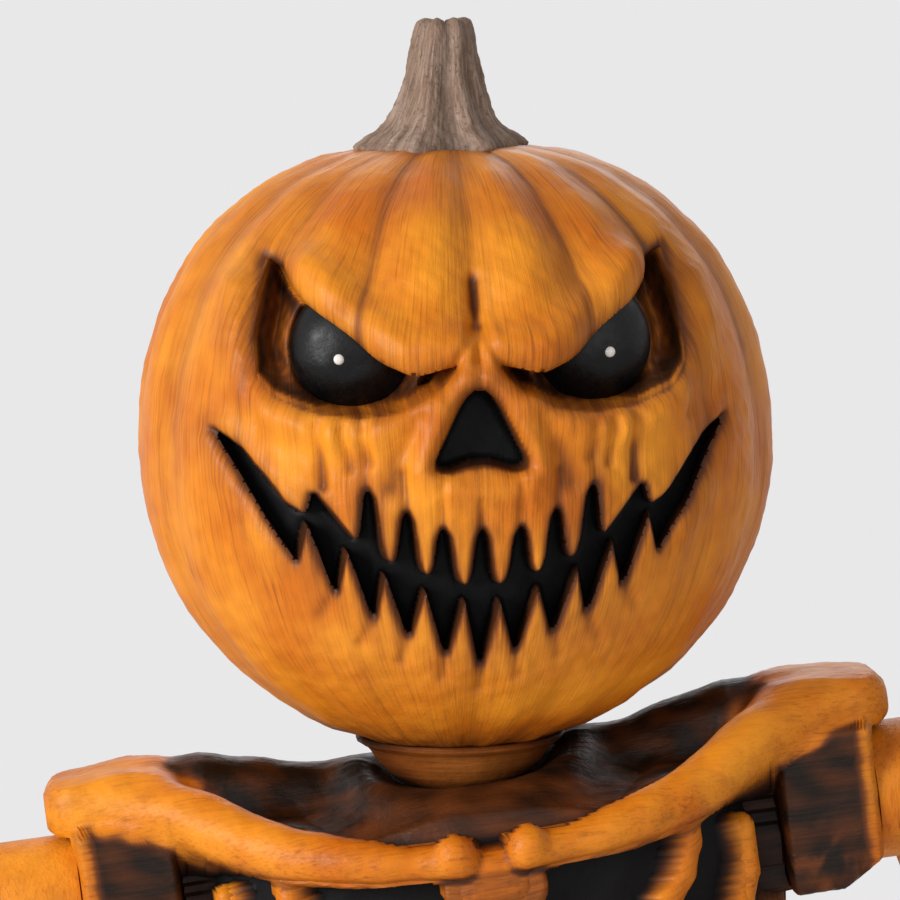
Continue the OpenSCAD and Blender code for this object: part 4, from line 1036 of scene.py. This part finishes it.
    def lens(self, side: int) -> bpy.types.Object:
        """The light's domed lens: half an ellipsoid that stands proud of the eye.

        Args:
            side: 1 for the figure's left, -1 for its right.

        Returns:
            The lens.
        """
        a, t = np.meshgrid(np.radians(np.arange(0, 360, 7.5)), np.radians(np.linspace(2, 92, 16)))
        r = self.light_r * np.sin(t)
        p = np.stack([r * np.cos(a), -1.7 * np.cos(t), r * np.sin(a)], -1)
        across, up = self.light
        proud = self.eye_bulge * math.sqrt(1 - (across / self.eye_r) ** 2 - (up / self.eye_r) ** 2) - 0.5
        p += np.array([side * (self.eye[0] + across), self.eye[1] - proud, self.eye[2] + up])
        return write_mesh(f"led_lens_{'left' if side > 0 else 'right'}", self.world(p)[::-1])

    def bowl(self) -> bpy.types.Object:
        """The round neck under the head: a lathe profile with a rolled rim, brushed round and round, with
        painted shade towards its sides, under the head and at its foot.
        """
        profile = np.array([
            [30, -17.2], [46.0, -16.4], [49.2, -16.2], [50.2, -17.2], [49.6, -18.8], [47.6, -20.2],
            [45.4, -21.4], [42.8, -24.5], [39.6, -29.5], [34.8, -35.0], [28.6, -40.0], [24.5, -42.4],
        ])
        r, h = resampled(profile, 70)
        a, rr = np.meshgrid(np.radians(np.arange(0, 360, 2.5)), r)
        hh = np.broadcast_to(h[:, None], rr.shape)
        p = np.stack([rr * np.sin(a), -rr * np.cos(a), hh - self.above_ball], -1)
        p[..., :2] *= (1 + 0.006 * ripple(p, 12, 31))[..., None]
        flow = np.stack([rr * np.sin(a) * 0.05, rr * np.cos(a) * 0.05, hh], -1) * MM
        # Painted shade over an even wash of 0.12: darker towards the foot, in a band just under the head's
        # rim, and towards the sides as seen from the front.
        wash = 0.12 + 0.50 * smoothstep(-28, -41, hh) + 0.30 * smoothstep(-20, -17, hh)
        wash += 0.55 * smoothstep(0.35, 0.95, np.abs(np.sin(a)))
        return write_mesh("neck_bowl_skin", self.world(p)[::-1], {"wash": wash[::-1]}, flow=flow[::-1])

    def build(self, skin: bpy.types.Material) -> None:
        """Makes and dresses the shell, the stem, the eyes with their lights, and the neck bowl.

        Args:
            skin: finish of the shell.
        """
        dress(self.shell(), skin, "head", "pumpkin_plastic", "head_front_shell", "head_rear_shell")
        dress(self.stem(), RibbedStem().build(), "head", "stem_plastic", "stem")
        lacquer = EyeLacquer().build()
        lens = MouldedPlastic("epoxy_led_lens", "#e9e4dc", "#d8d2c8", 0.25, coat=0.5).build()
        for side, word in ((1, "left"), (-1, "right")):
            dress(self.eyeball(side), lacquer, "head", "eye_plastic", f"eye_{word}")
            dress(self.lens(side), lens, "head", "led_lens", f"eye_led_{word}")
        neck = AntiquedPlastic("antiqued_neck_polyethylene", "#a8642a", "#7d4417", streak_amount=0.9).build()
        dress(self.bowl(), neck, "head", "neck_plastic", "neck_bowl")


# ---------------------------------------------------------------- torso


@dataclass
class Torso:
    """The rib cage with its breastbone, collar bones, trapezius, neck collar and shoulder boxes.

    One distance function describes the whole skin. Two grids sample it: the yoke, by rays out from a
    line between the shoulders, and the cage, by level rays out from the spine.
    """

    base: float = 1006.0           # bottom of the cage
    half: float = 190.0            # from the middle to a flat shoulder face
    ball: float = 1351.0
    hollow: float = 51.0           # radius of the collar's hollow round the neck ball
    rib_pitch: float = 33.0
    rib_half: float = 7.6
    rib_high: float = 11.0
    rib_top: float = 1295.0
    rib_count: int = 8
    rib_drop: float = 69.0         # fall of a rib from the side to the breastbone
    rear_drop: float = 30.0        # the same behind, where it is a rise
    rib_end: float = 1290.0        # no rib above this height
    cage_low: float = 1002.0       # flat underside of the cage
    first_rib_r: float = 6.6
    breastbone_half: float = 15.0
    backbone_half: float = 17.0
    cage_half: float = 142.0       # half width of the cage, and its depth to the front and the rear
    cage_front: float = 94.0
    cage_rear: float = 92.0
    # Heights above the base, with the shares of that width and depth that the cage has there.
    levels: tuple[float, ...] = (0, 8, 22, 50, 100, 160, 215, 262, 285, 300, 318)
    wide: tuple[float, ...] = (0.46, 0.58, 0.70, 0.85, 0.96, 1.0, 1.01, 1.03, 1.00, 0.90, 0.70)
    deep: tuple[float, ...] = (0.46, 0.58, 0.70, 0.86, 0.98, 1.0, 0.97, 0.93, 0.91, 0.86, 0.66)
    # Round bars of the left half: side, place fore and aft, height and radius of each point.
    clavicle: tuple[tuple[float, ...], ...] = (
        (15, -90, 1290, 9.2), (35, -84, 1290, 9.0), (53, -79, 1292, 11), (73, -71, 1295, 12.5),
        (90, -62, 1298, 13), (108, -50, 1304, 14), (124, -39, 1311, 15), (142, -29, 1318, 15.2),
        (162, -21, 1322, 14), (180, -15, 1324, 12), (192, -11, 1325, 10.5),
    )
    ledge: tuple[tuple[float, ...], ...] = (
        (128, 2, 1325, 14), (145, 2, 1327.5, 13.4), (165, 2, 1328, 12), (190, 3, 1325, 10),
    )
    rear_ledge: tuple[tuple[float, ...], ...] = (
        (118, 32, 1312, 15), (150, 22, 1324, 13), (189, 14, 1325, 10.5),
    )
    slope: tuple[tuple[float, ...], ...] = (
        (46, 12, 1303, 19), (66, 11, 1308, 18), (82, 10, 1311, 17.5), (102, 8, 1317, 17), (128, 4, 1323, 17),
    )
    knob: tuple[float, float, float] = (17.0, -90.0, 1293.5)           # inner end of a collar bone
    knob_r: float = 10.0
    manubrium: tuple[float, float, float] = (0.0, -87.0, 1275.0)       # top of the breastbone
    manubrium_half: tuple[float, float, float] = (24.0, 10.5, 19.0)
    box_middle: tuple[float, float, float] = (167.0, 0.0, 1278.0)      # shoulder box
    box_half: tuple[float, float, float] = (23.0, 37.0, 39.0)
    box_corner: tuple[float, float] = (187.0, 1251.0)                  # a slope cuts its lower edge here
    web_middle: tuple[float, float, float] = (120.0, 12.0, 1280.0)     # between the box and the cage
    web_half: tuple[float, float, float] = (30.0, 28.0, 34.0)
    plate_middle: tuple[float, float] = (170.0, -4.0)                  # flat top of the shoulder's tip
    plate_half: tuple[float, float, float] = (28.0, 22.0, 15.0)
    ring_r: float = 53.0                                               # collar round the neck
    ring_high: float = 1320.0
    ring_thick: float = 8.0
    # The two upper ribs in front: degrees round from the middle, and height.
    first_ribs: tuple[tuple[tuple[float, float], ...], ...] = (
        ((0, 1226), (27, 1231), (40, 1240), (48, 1251), (54, 1265), (57, 1278), (58, 1290)),
        ((0, 1193), (27, 1197), (45, 1209), (60, 1226), (68, 1243), (71, 1258), (72, 1278)),
    )

    def bar(self, p: Array, points: tuple[tuple[float, ...], ...]) -> Array:
        """Distance to a round bar whose middle and radius are smooth functions of x.

        |v|^2 less its share along the bar, where v goes from the middle at the same x to the point.

        Args:
            p: points of the left half, last axis x, y, z.
            points: side, place fore and aft, height and radius along the bar.

        Returns:
            Distance of each point, negative inside.
        """
        knots = np.array(points)
        fine = np.linspace(knots[0, 0], knots[-1, 0], 160)
        y, z, r = (curve(fine, knots[:, 0], knots[:, i]) for i in (1, 2, 3))
        x = np.clip(p[..., 0], fine[0], fine[-1])
        middle = np.stack([x, np.interp(x, fine, y), np.interp(x, fine, z)], -1)
        rise = [np.interp(x, fine, np.gradient(c, fine)) for c in (y, z)]
        line = np.stack([np.ones_like(x), *rise], -1)
        v = p - middle
        along = np.sum(v * line, -1) / np.linalg.norm(line, axis=-1)
        along = np.where(x == p[..., 0], along, 0)
        return np.sqrt(np.maximum(np.sum(v * v, -1) - along**2, 0)) - np.interp(x, fine, r)

    def first_rib(self, p: Array, points: tuple[tuple[float, float], ...]) -> Array:
        """Distance to one of the two upper ribs, a row of short bars that ends under the collar bone.

        Args:
            p: points of the left half, last axis x, y, z.
            points: degrees round from the middle, and height, along the rib.

        Returns:
            Distance of each point, negative inside.
        """
        lon, z = np.radians([a for a, _ in points]), np.array([b for _, b in points], float)
        rays = np.stack([np.sin(lon), -np.cos(lon), z], -1)
        _, reach, _ = self.cage_reach(rays)
        knots = rays * np.stack([reach - 5.0, reach - 5.0, np.ones_like(z)], -1)
        found = None
        for a, b in zip(knots[:-1], knots[1:]):
            t = np.clip(((p - a) @ (b - a)) / ((b - a) @ (b - a)), 0, 1)
            d = np.linalg.norm(p - a - t[..., None] * (b - a), axis=-1) - self.first_rib_r
            found = d if found is None else smooth_min(found, d, 1.5)
        return found

    def box(self, p: Array, middle: tuple[float, ...], half: tuple[float, ...], radius: float) -> Array:
        """Distance to a box with rounded edges: |max(q, 0)| + min(largest q, 0), with q past its faces.

        Args:
            p: points, last axis x, y, z.
            middle: the box's middle.
            half: half its size in each direction.
            radius: radius of its edges.

        Returns:
            Distance of each point, negative inside.
        """
        q = np.abs(p - np.array(middle)) - (np.array(half) - radius)
        return np.linalg.norm(np.maximum(q, 0), axis=-1) + np.minimum(q.max(-1), 0) - radius

    def cage_reach(self, p: Array) -> tuple[Array, Array, Array]:
        """The cage's outline at each level, an ellipse 1 / sqrt((sin / width)^2 + (cos / depth)^2).

        Args:
            p: points, last axis x, y, z.

        Returns:
            Distance from the spine's axis, the cage's reach that way, and the angle from the front.
        """
        x, y, z = p[..., 0], p[..., 1], p[..., 2]
        rho = np.maximum(np.hypot(x, y), 1e-6)
        w = self.cage_half * np.interp(z - self.base, self.levels, self.wide)
        most = np.where(y < 0, self.cage_front, self.cage_rear)
        d = most * np.interp(z - self.base, self.levels, self.deep)
        return rho, 1 / np.sqrt((x / rho / w) ** 2 + (y / rho / d) ** 2), np.arctan2(x, -y)

    def rib(self, p: Array, lon: Array) -> Array:
        """Cross-section of the rib that passes a point.

        Each rib is a level curve of z + drop cos(lon) in front, and rises gently to the spine behind.

        Args:
            p: points, last axis x, y, z.
            lon: their angles from the front.

        Returns:
            1 on a rib's crest, 0 beside it, along a half circle.
        """
        fall = np.where(np.cos(lon) > 0, self.rib_drop, self.rear_drop) * np.cos(lon)
        place = (self.rib_top - p[..., 2] - fall) / self.rib_pitch
        nearest = np.clip(np.round(place), np.where(np.abs(lon) < 1.5, 2, 0), self.rib_count - 1)
        u = (place - nearest) * self.rib_pitch / self.rib_half
        mid = np.abs(p[..., 0]) / np.where(np.cos(lon) > 0, self.breastbone_half, self.backbone_half)
        bone = np.sqrt(np.clip(1 - u**2, 0, 1))
        return np.maximum(bone, np.sqrt(np.clip(1 - mid**2, 0, 1)) * smoothstep(1066, 1090, p[..., 2]))

    def parts(self, p: Array) -> dict[str, Array]:
        """Distances to each part of the skin.

        Args:
            p: points of the figure's frame, last axis x, y, z.

        Returns:
            Distance of each point to each named part, negative inside.
        """
        q = p.copy()
        q[..., 0] = np.abs(q[..., 0])
        rho, reach, lon = self.cage_reach(q)
        bones = self.rib(q, lon)
        core = (rho - reach + self.rib_high + 1.0) * 0.9
        rib = (rho - reach + (self.rib_high + 6.0) * (1 - bones)) * 0.8
        dome = 1299.5 + 0.50 * np.clip(84 - rho, 0, 30) + 9 * smoothstep(45, 95, q[..., 0])
        core = np.maximum(np.maximum(core, (q[..., 2] - dome) * 0.88), self.cage_low - q[..., 2])
        rib = np.maximum(np.maximum(rib, q[..., 2] - self.rib_end), self.cage_low - q[..., 2])
        for points in self.first_ribs:
            rib = smooth_min(rib, self.first_rib(q, points), 3.0)
        ring = self.ring_high + np.where(q[..., 1] < 0, 0.25, -0.08) * q[..., 1]
        ring = np.hypot(rho - self.ring_r - 3.0 * np.cos(lon), q[..., 2] - ring + 2.0) - self.ring_thick
        plug = np.maximum(rho - self.ring_r + 1.0, q[..., 2] - 1300.0)
        star = np.linalg.norm((q - np.array(self.manubrium)) / np.array(self.manubrium_half), axis=-1)
        knob = np.linalg.norm(q - np.array(self.knob), axis=-1) - self.knob_r
        side, level = self.box_corner
        corner = (q[..., 0] - side) * 0.555 - (q[..., 2] - level) * 0.832
        cube = self.box(q, self.box_middle, self.box_half, 4.0)
        tip = q - np.array([*self.plate_middle, 0.0])
        tip[..., 2] -= np.interp(q[..., 0], [138, 160, 200], [1322.0, 1325.5, 1325.5])
        thick = np.interp(q[..., 0], [138, 165, 202], [14.0, 13.0, 9.5])
        plate = self.box(tip, (0, 0, 0), self.plate_half, 11.0)
        plate = np.maximum(plate, (np.abs(tip[..., 2]) - thick) * 0.95)
        ledge = smooth_min(self.bar(q, self.ledge), self.bar(q, self.rear_ledge), 10.0)
        return {
            "core": core,
            "rib": rib,
            "clavicle": smooth_min(self.bar(q, self.clavicle), knob, 2.0),
            "manubrium": (star - 1) * self.manubrium_half[1],
            "ledge": smooth_min(ledge, plate, 12.0),
            "slope": self.bar(q, self.slope),
            "collar": smooth_min(ring, plug, 10.0),
            "box": np.maximum(cube, corner),
            "web": self.box(q, self.web_middle, self.web_half, 12.0),
        }

    def distance(self, p: Array) -> Array:
        """Distance outside the skin: its parts joined with fillets, less the neck's hollow and flat ends.

        Args:
            p: points of the figure's frame, last axis x, y, z.

        Returns:
            Distance of each point, negative inside.
        """
        d = self.parts(p)
        top = smooth_min(d["slope"], d["collar"], 14.0)
        dark = smooth_min(smooth_min(d["core"], d["web"], 4.0), top, 12.0)
        dark = smooth_min(dark, d["box"], 4.0)
        bone = smooth_min(d["clavicle"], d["manubrium"], 2.5)
        bone = smooth_min(bone, d["ledge"], 12.0)
        skin = smooth_min(smooth_min(dark, bone, 5.0), d["rib"], 2.5)
        skin = skin - 0.3 * ripple(p, 42, 41) - 0.12 * ripple(p, 12, 42)
        bowl = self.hollow - np.linalg.norm(p - np.array([0, 0, self.ball]), axis=-1)
        flat = np.where(p[..., 2] < 1312.5, np.abs(p[..., 0]) - self.half, -99.0)
        return np.maximum(np.maximum(skin, bowl), flat)

    def paint(self, p: Array) -> dict[str, Array]:
        """Wash and black masks: orange on the bones, brown on the trapezius and boxes, black between ribs,
        painted shade under the collar bones.

        Args:
            p: points of the skin, last axis x, y, z.

        Returns:
            Both masks, from 0 to 1.
        """
        d = self.parts(p)
        x, z = np.abs(p[..., 0]), p[..., 2]
        bars = np.minimum(d["clavicle"], d["manubrium"])
        tip = d["ledge"] + 16.0 * smoothstep(158, 126, x + 0.25 * p[..., 1])
        rim = 3.5 + 11.0 * smoothstep(1302, 1316, z)
        lit = smoothstep(1.0, 0.12, np.minimum(bars, tip) / rim + 0.16 * ripple(p, 26, 51))
        lit = np.maximum(lit, smoothstep(1.8, 0.5, d["rib"]))
        face = smoothstep(2.0, 0.5, d["box"]) * (z < 1318)
        low = smoothstep(1290, 1250, z) * smoothstep(-0.2, 1.0, ripple(p, 22, 54))
        band = np.maximum(smoothstep(178.0, 187.0, x) * (p[..., 1] < 40), 0.42 * low)
        lit = np.maximum(lit, 0.85 * band * face)
        # Painted shade: under darkens the orange below the line of the collar bones' lower edge, the top of
        # the breastbone included; meet darkens the joint where breastbone and collar bone meet.
        lower = np.interp(x, [20, 53, 90, 124, 160, 192], [1283, 1284, 1288, 1299, 1310, 1317])
        under = smoothstep(4.0, -3.0, z - lower) * (bars < 3.0)
        meet = smoothstep(2.5, 0.3, np.maximum(d["manubrium"], d["clavicle"]))
        crease = 0.45 * under + 0.4 * meet
        wash = np.clip(1.0 - lit + crease * lit, 0, 1)
        film = 0.90 - 0.12 * smoothstep(-35, -60, p[..., 1]) + 0.08 * ripple(p, 30, 52)
        wash = np.where(lit < 0.5, np.minimum(wash, film), wash)
        gap = np.minimum(np.minimum(bars, d["ledge"]), np.minimum(d["rib"], d["box"]))
        black = smoothstep(0.8, 3.0, gap) * smoothstep(1300, 1294, z) * smoothstep(146, 140, x)
        return {"wash": wash + 0.10 * (1 - wash) * smoothstep(0.2, 1.0, ripple(p, 24, 53)), "black": black}

    def seam(self, p: Array) -> Array:
        """Height where the yoke's skin takes over from the cage's: tucked under the collar bones in front.

        Args:
            p: points of the skin, last axis x, y, z.

        Returns:
            That height beside each point.
        """
        front = np.interp(np.abs(p[..., 0]), [15, 53, 90], [1285.5, 1287.0, 1291.0])
        return 1268.0 + (front - 1268.0) * smoothstep(-10, -35, p[..., 1])

    def yoke(self) -> bpy.types.Object:
        """Collar, trapezius, collar bones and shoulder boxes: rays turned round a line from side to side.

        Below the seam it lies hidden inside the cage, except in the open air beside it.
        """
        inner = spread(-189.8, 189.8, -150, 150, 1.45, 1.6)
        tip = np.array([190.1, 192.5, 195.0, 197.5, 199.5, 201.2, 202.3])
        x = np.concatenate([-tip[::-1], inner, tip])
        turn = np.radians(spread(-180, 180, -120, 50, 1.2, 3.2))[:-1]
        turn, x = np.meshgrid(turn, x)
        middle = np.stack([x, np.full_like(x, -7.0), np.interp(np.abs(x), [150, 188], [1279.0, 1323.0])], -1)
        rays = np.stack([np.zeros_like(x), np.sin(turn), np.cos(turn)], -1)
        open_air = smoothstep(114, 126, np.abs(x))
        down = smoothstep(-0.35, -0.75, np.cos(turn))
        far, near = 150.0, 42.0 + 60.0 * open_air
        start = far - (far - near) * down
        reach = traced(self.distance, middle, rays, start)
        p = middle + rays * reach[..., None]
        seam = self.seam(p)
        hidden = smoothstep(seam, seam - 4, p[..., 2]) * (1 - open_air)
        p -= rays * (3.5 * hidden)[..., None]
        flow = p * np.array([0.06, 1.0, 1.0]) * MM
        masks = {key: mask[::-1] for key, mask in self.paint(p).items()}
        return write_mesh("torso_yoke", p[::-1], masks, flow=flow[::-1])

    def cage(self) -> bpy.types.Object:
        """The rib cage: level rays out from the spine, tucked inside the yoke above the seam."""
        lon = np.radians(spread(-180, 180, -100, 100, 0.95, 1.5))[:-1]
        z = np.linspace(1003.0, 1297.0, 200)
        lon, z = np.meshgrid(lon, z)
        middle = np.stack([np.zeros_like(z), np.zeros_like(z), z], -1)
        rays = np.stack([np.sin(lon), -np.cos(lon), np.zeros_like(z)], -1)
        _, most, _ = self.cage_reach(middle + rays)
        reach = traced(self.distance, middle, rays, most + 5.0)
        seam = self.seam(middle + rays * reach[..., None])
        beside = smoothstep(114, 126, np.abs(reach * np.sin(lon))) * smoothstep(1238, 1250, z)
        close = np.sqrt(np.clip(1 - ((1016 - z) / 14).clip(0, 1) ** 2, 0.05, 1))
        reach = reach * close - 2.5 * np.maximum(smoothstep(seam - 3, seam + 2, z), beside)
        p = middle + rays * reach[..., None]
        flow = np.stack([np.sin(lon) * 6, np.cos(lon) * 6, z + self.rib_drop * np.cos(lon)], -1) * MM
        return write_mesh("torso_cage", p, self.paint(p), flow=flow)

    def build(self) -> None:
        """Makes and dresses the yoke and the cage."""
        chest = AntiquedPlastic("antiqued_torso_polyethylene", shade="#180d06", roughness=0.40).build()
        dress(self.yoke(), chest, "torso", "torso_plastic", "torso_front_shell")
        dress(self.cage(), chest, "torso", "torso_plastic", "torso_rear_shell")


# ---------------------------------------------------------------- limbs


@dataclass
class Moulding:
    """A bone or fitting whose shape the frame already has, with eased edges and a moulding's smoothness."""

    node: str
    ease: float = 1.4
    sharp: float = 38.0

    def build(self, source: bpy.types.Object) -> bpy.types.Object:
        """Copies the node, merges its loose triangles, joins its flats and rounds its sharp edges.

        Args:
            source: the CAD node's object.

        Returns:
            The new piece.
        """
        shape = bmesh.new()
        shape.from_mesh(source.data)
        bmesh.ops.remove_doubles(shape, verts=shape.verts, dist=2e-6)
        bmesh.ops.dissolve_limit(shape, angle_limit=math.radians(0.6), verts=shape.verts, edges=shape.edges)
        mesh = bpy.data.meshes.new(self.node + "_moulding")
        shape.to_mesh(mesh)
        shape.free()
        mesh.shade_smooth()
        piece = bpy.data.objects.new(self.node + "_moulding", mesh)
        bpy.context.scene.collection.objects.link(piece)
        bevel = piece.modifiers.new("eased_edges", "BEVEL")
        bevel.width, bevel.segments, bevel.limit_method = self.ease * MM, 3, "ANGLE"
        bevel.angle_limit = math.radians(self.sharp)
        bevel.harden_normals = True
        bevel.use_clamp_overlap = True
        return piece


# ---------------------------------------------------------------- stage


@dataclass
class Studio:
    """Pale floor and backdrop, soft lamps and the camera; angles are in degrees."""

    target: tuple[float, float, float]
    azimuth: float = -4.0
    elevation: float = 7.0
    roll: float = 7.2
    distance_m: float = 2.3
    focal: float = 193.7
    shift_m: tuple[float, float] = (-0.0019, -0.0024)      # of the aim from the target, across and up
    paper: str = "#e9e8e9"
    sky: float = 0.36

    def camera(self) -> None:
        """Looks at the head from a little above and from the figure's right, turned about the view axis."""
        az, el, roll = (math.radians(v) for v in (self.azimuth, self.elevation, self.roll))
        back = Vector((math.sin(az) * math.cos(el), -math.cos(az) * math.cos(el), math.sin(el)))
        right = Vector((0, 0, 1)).cross(back).normalized()
        up = back.cross(right)
        across = right * math.cos(roll) - up * math.sin(roll)
        upward = right * math.sin(roll) + up * math.cos(roll)
        aim = Vector(self.target) * MM + across * self.shift_m[0] + upward * self.shift_m[1]
        data = bpy.data.cameras.new("camera")
        data.lens, data.sensor_width, data.clip_start, data.clip_end = self.focal, 36.0, 0.05, 60.0
        camera = bpy.data.objects.new("camera", data)
        turn = Matrix((across, upward, back)).transposed().to_4x4()
        camera.matrix_world = Matrix.Translation(aim + back * self.distance_m) @ turn
        bpy.context.scene.collection.objects.link(camera)
        bpy.context.scene.camera = camera

    def floor(self) -> None:
        """A flat sheet of pale paper under the feet, ten metres square."""
        x, y = np.meshgrid(np.linspace(-5000, 5000, 21), np.linspace(-5000, 5000, 21))
        floor = write_mesh("floor_paper", np.stack([x, y, np.zeros_like(x)], -1), wrap=False, capped=False)
        material, tree, shader = blank("backdrop_paper")
        place = add(tree, "TexCoord", give="Object")
        grain = add(tree, "TexNoise", {"Vector": place, "Scale": 700.0, "Detail": 2.0})
        tone = add(tree, "Mix", {FACTOR: grain, LOW: self.paper, HIGH: "#e6e5e6"}, MIXED, data_type="RGBA")
        feed(shader, {"Base Color": tone, "Roughness": 0.9})
        floor.data.materials.append(material)

    def world(self) -> None:
        """An even sky: pale where it is seen or mirrored, dimmer as a light on the object."""
        world = bpy.data.worlds.new("studio")
        world.use_nodes = True
        tree = world.node_tree
        tree.nodes.clear()
        seen = add(tree, "LightPath", give="Is Camera Ray")
        for ray in ("Is Transmission Ray", "Is Glossy Ray"):
            mirrored = add(tree, "LightPath", give=ray)
            seen = add(tree, "Math", {0: seen, 1: mirrored}, operation="MAXIMUM", use_clamp=True)
        sky = add(tree, "Background", {"Color": "#ffffff", "Strength": self.sky})
        paper = add(tree, "Background", {"Color": self.paper, "Strength": 1.0})
        both = add(tree, "MixShader", {0: seen, 1: sky, 2: paper})
        out = tree.nodes.new("ShaderNodeOutputWorld")
        out.is_active_output = True
        feed(out, {0: both})
        bpy.context.scene.world = world

    def lamp(self, name: str, place_m: tuple[float, float, float], size_m: float, watts: float) -> None:
        """A square softbox aimed at the target.

        Args:
            name: name of the lamp.
            place_m: where it stands.
            size_m: side of the square.
            watts: its power.
        """
        data = bpy.data.lights.new(name, "AREA")
        data.size, data.energy = size_m, watts
        lamp = bpy.data.objects.new(name, data)
        lamp.location = place_m
        lamp.rotation_euler = (Vector(place_m) - Vector(self.target) * MM).to_track_quat("Z", "Y").to_euler()
        bpy.context.scene.collection.objects.link(lamp)

    def build(self) -> None:
        """Sets the whole stage."""
        self.camera()
        self.floor()
        self.world()
        self.lamp("key_softbox", (-2.5, -1.9, 2.5), 1.7, 112.0)
        self.lamp("fill_softbox", (0.9, -3.0, 1.9), 2.2, 16.0)
        self.lamp("back_softbox", (0.6, 2.4, 2.6), 1.5, 14.0)
        bpy.context.scene.view_settings.view_transform = "Standard"


def main() -> None:
    """Builds the studio, then every piece of the figure, in order."""
    logging.basicConfig(level=logging.INFO, format="%(message)s")
    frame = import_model()
    head = PumpkinHead(ball=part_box("neck_ball")[1].z / MM - NECK_BALL_R)
    Studio(target=tuple(head.world(np.zeros(3)))).build()
    orange = AntiquedPlastic("antiqued_pumpkin_polyethylene").build()
    head.build(orange)
    Torso(ball=head.ball).build()
    bone = AntiquedPlastic("antiqued_bone_polyethylene", strokes=Strokes.UPRIGHT).build()
    dark = MouldedPlastic("black_moulded_abs", "#141414", "#1f1e1d", 0.5).build()
    finishes = {
        "bone_plastic": bone, "pumpkin_plastic": orange, "black_plastic": dark,
        "zinc_screw": DrawnSteel("zinc_plated_steel").build(),
        "steel_tube": DrawnSteel("drawn_steel_tube", "#c2c3c4").build(),
        "nylon": MouldedPlastic("natural_nylon", "#e6e2d6", "#d8d3c5", 0.4).build(),
        "wire_insulation": MouldedPlastic("soft_pvc_sheath", "#9b2a1f", "#842016", 0.5).build(),
        "cell_jacket": MouldedPlastic("printed_cell_film", "#1f5a38", "#184a2d", 0.3).build(),
    }
    slots = {s["node"]: s["material_slot"] for s in frame["record"]["subparts"]}
    for name, node in frame["nodes"].items():
        if slots.get(name) == "bone_plastic":
            dress(Moulding(name).build(node), bone, node["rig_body"], "bone_plastic", name)
    for name, node in frame["nodes"].items():
        if not node.hide_render and slots.get(name) in finishes:
            node.data.materials.clear()
            node.data.materials.append(finishes[slots[name]])


if __name__ == "__main__":
    main()
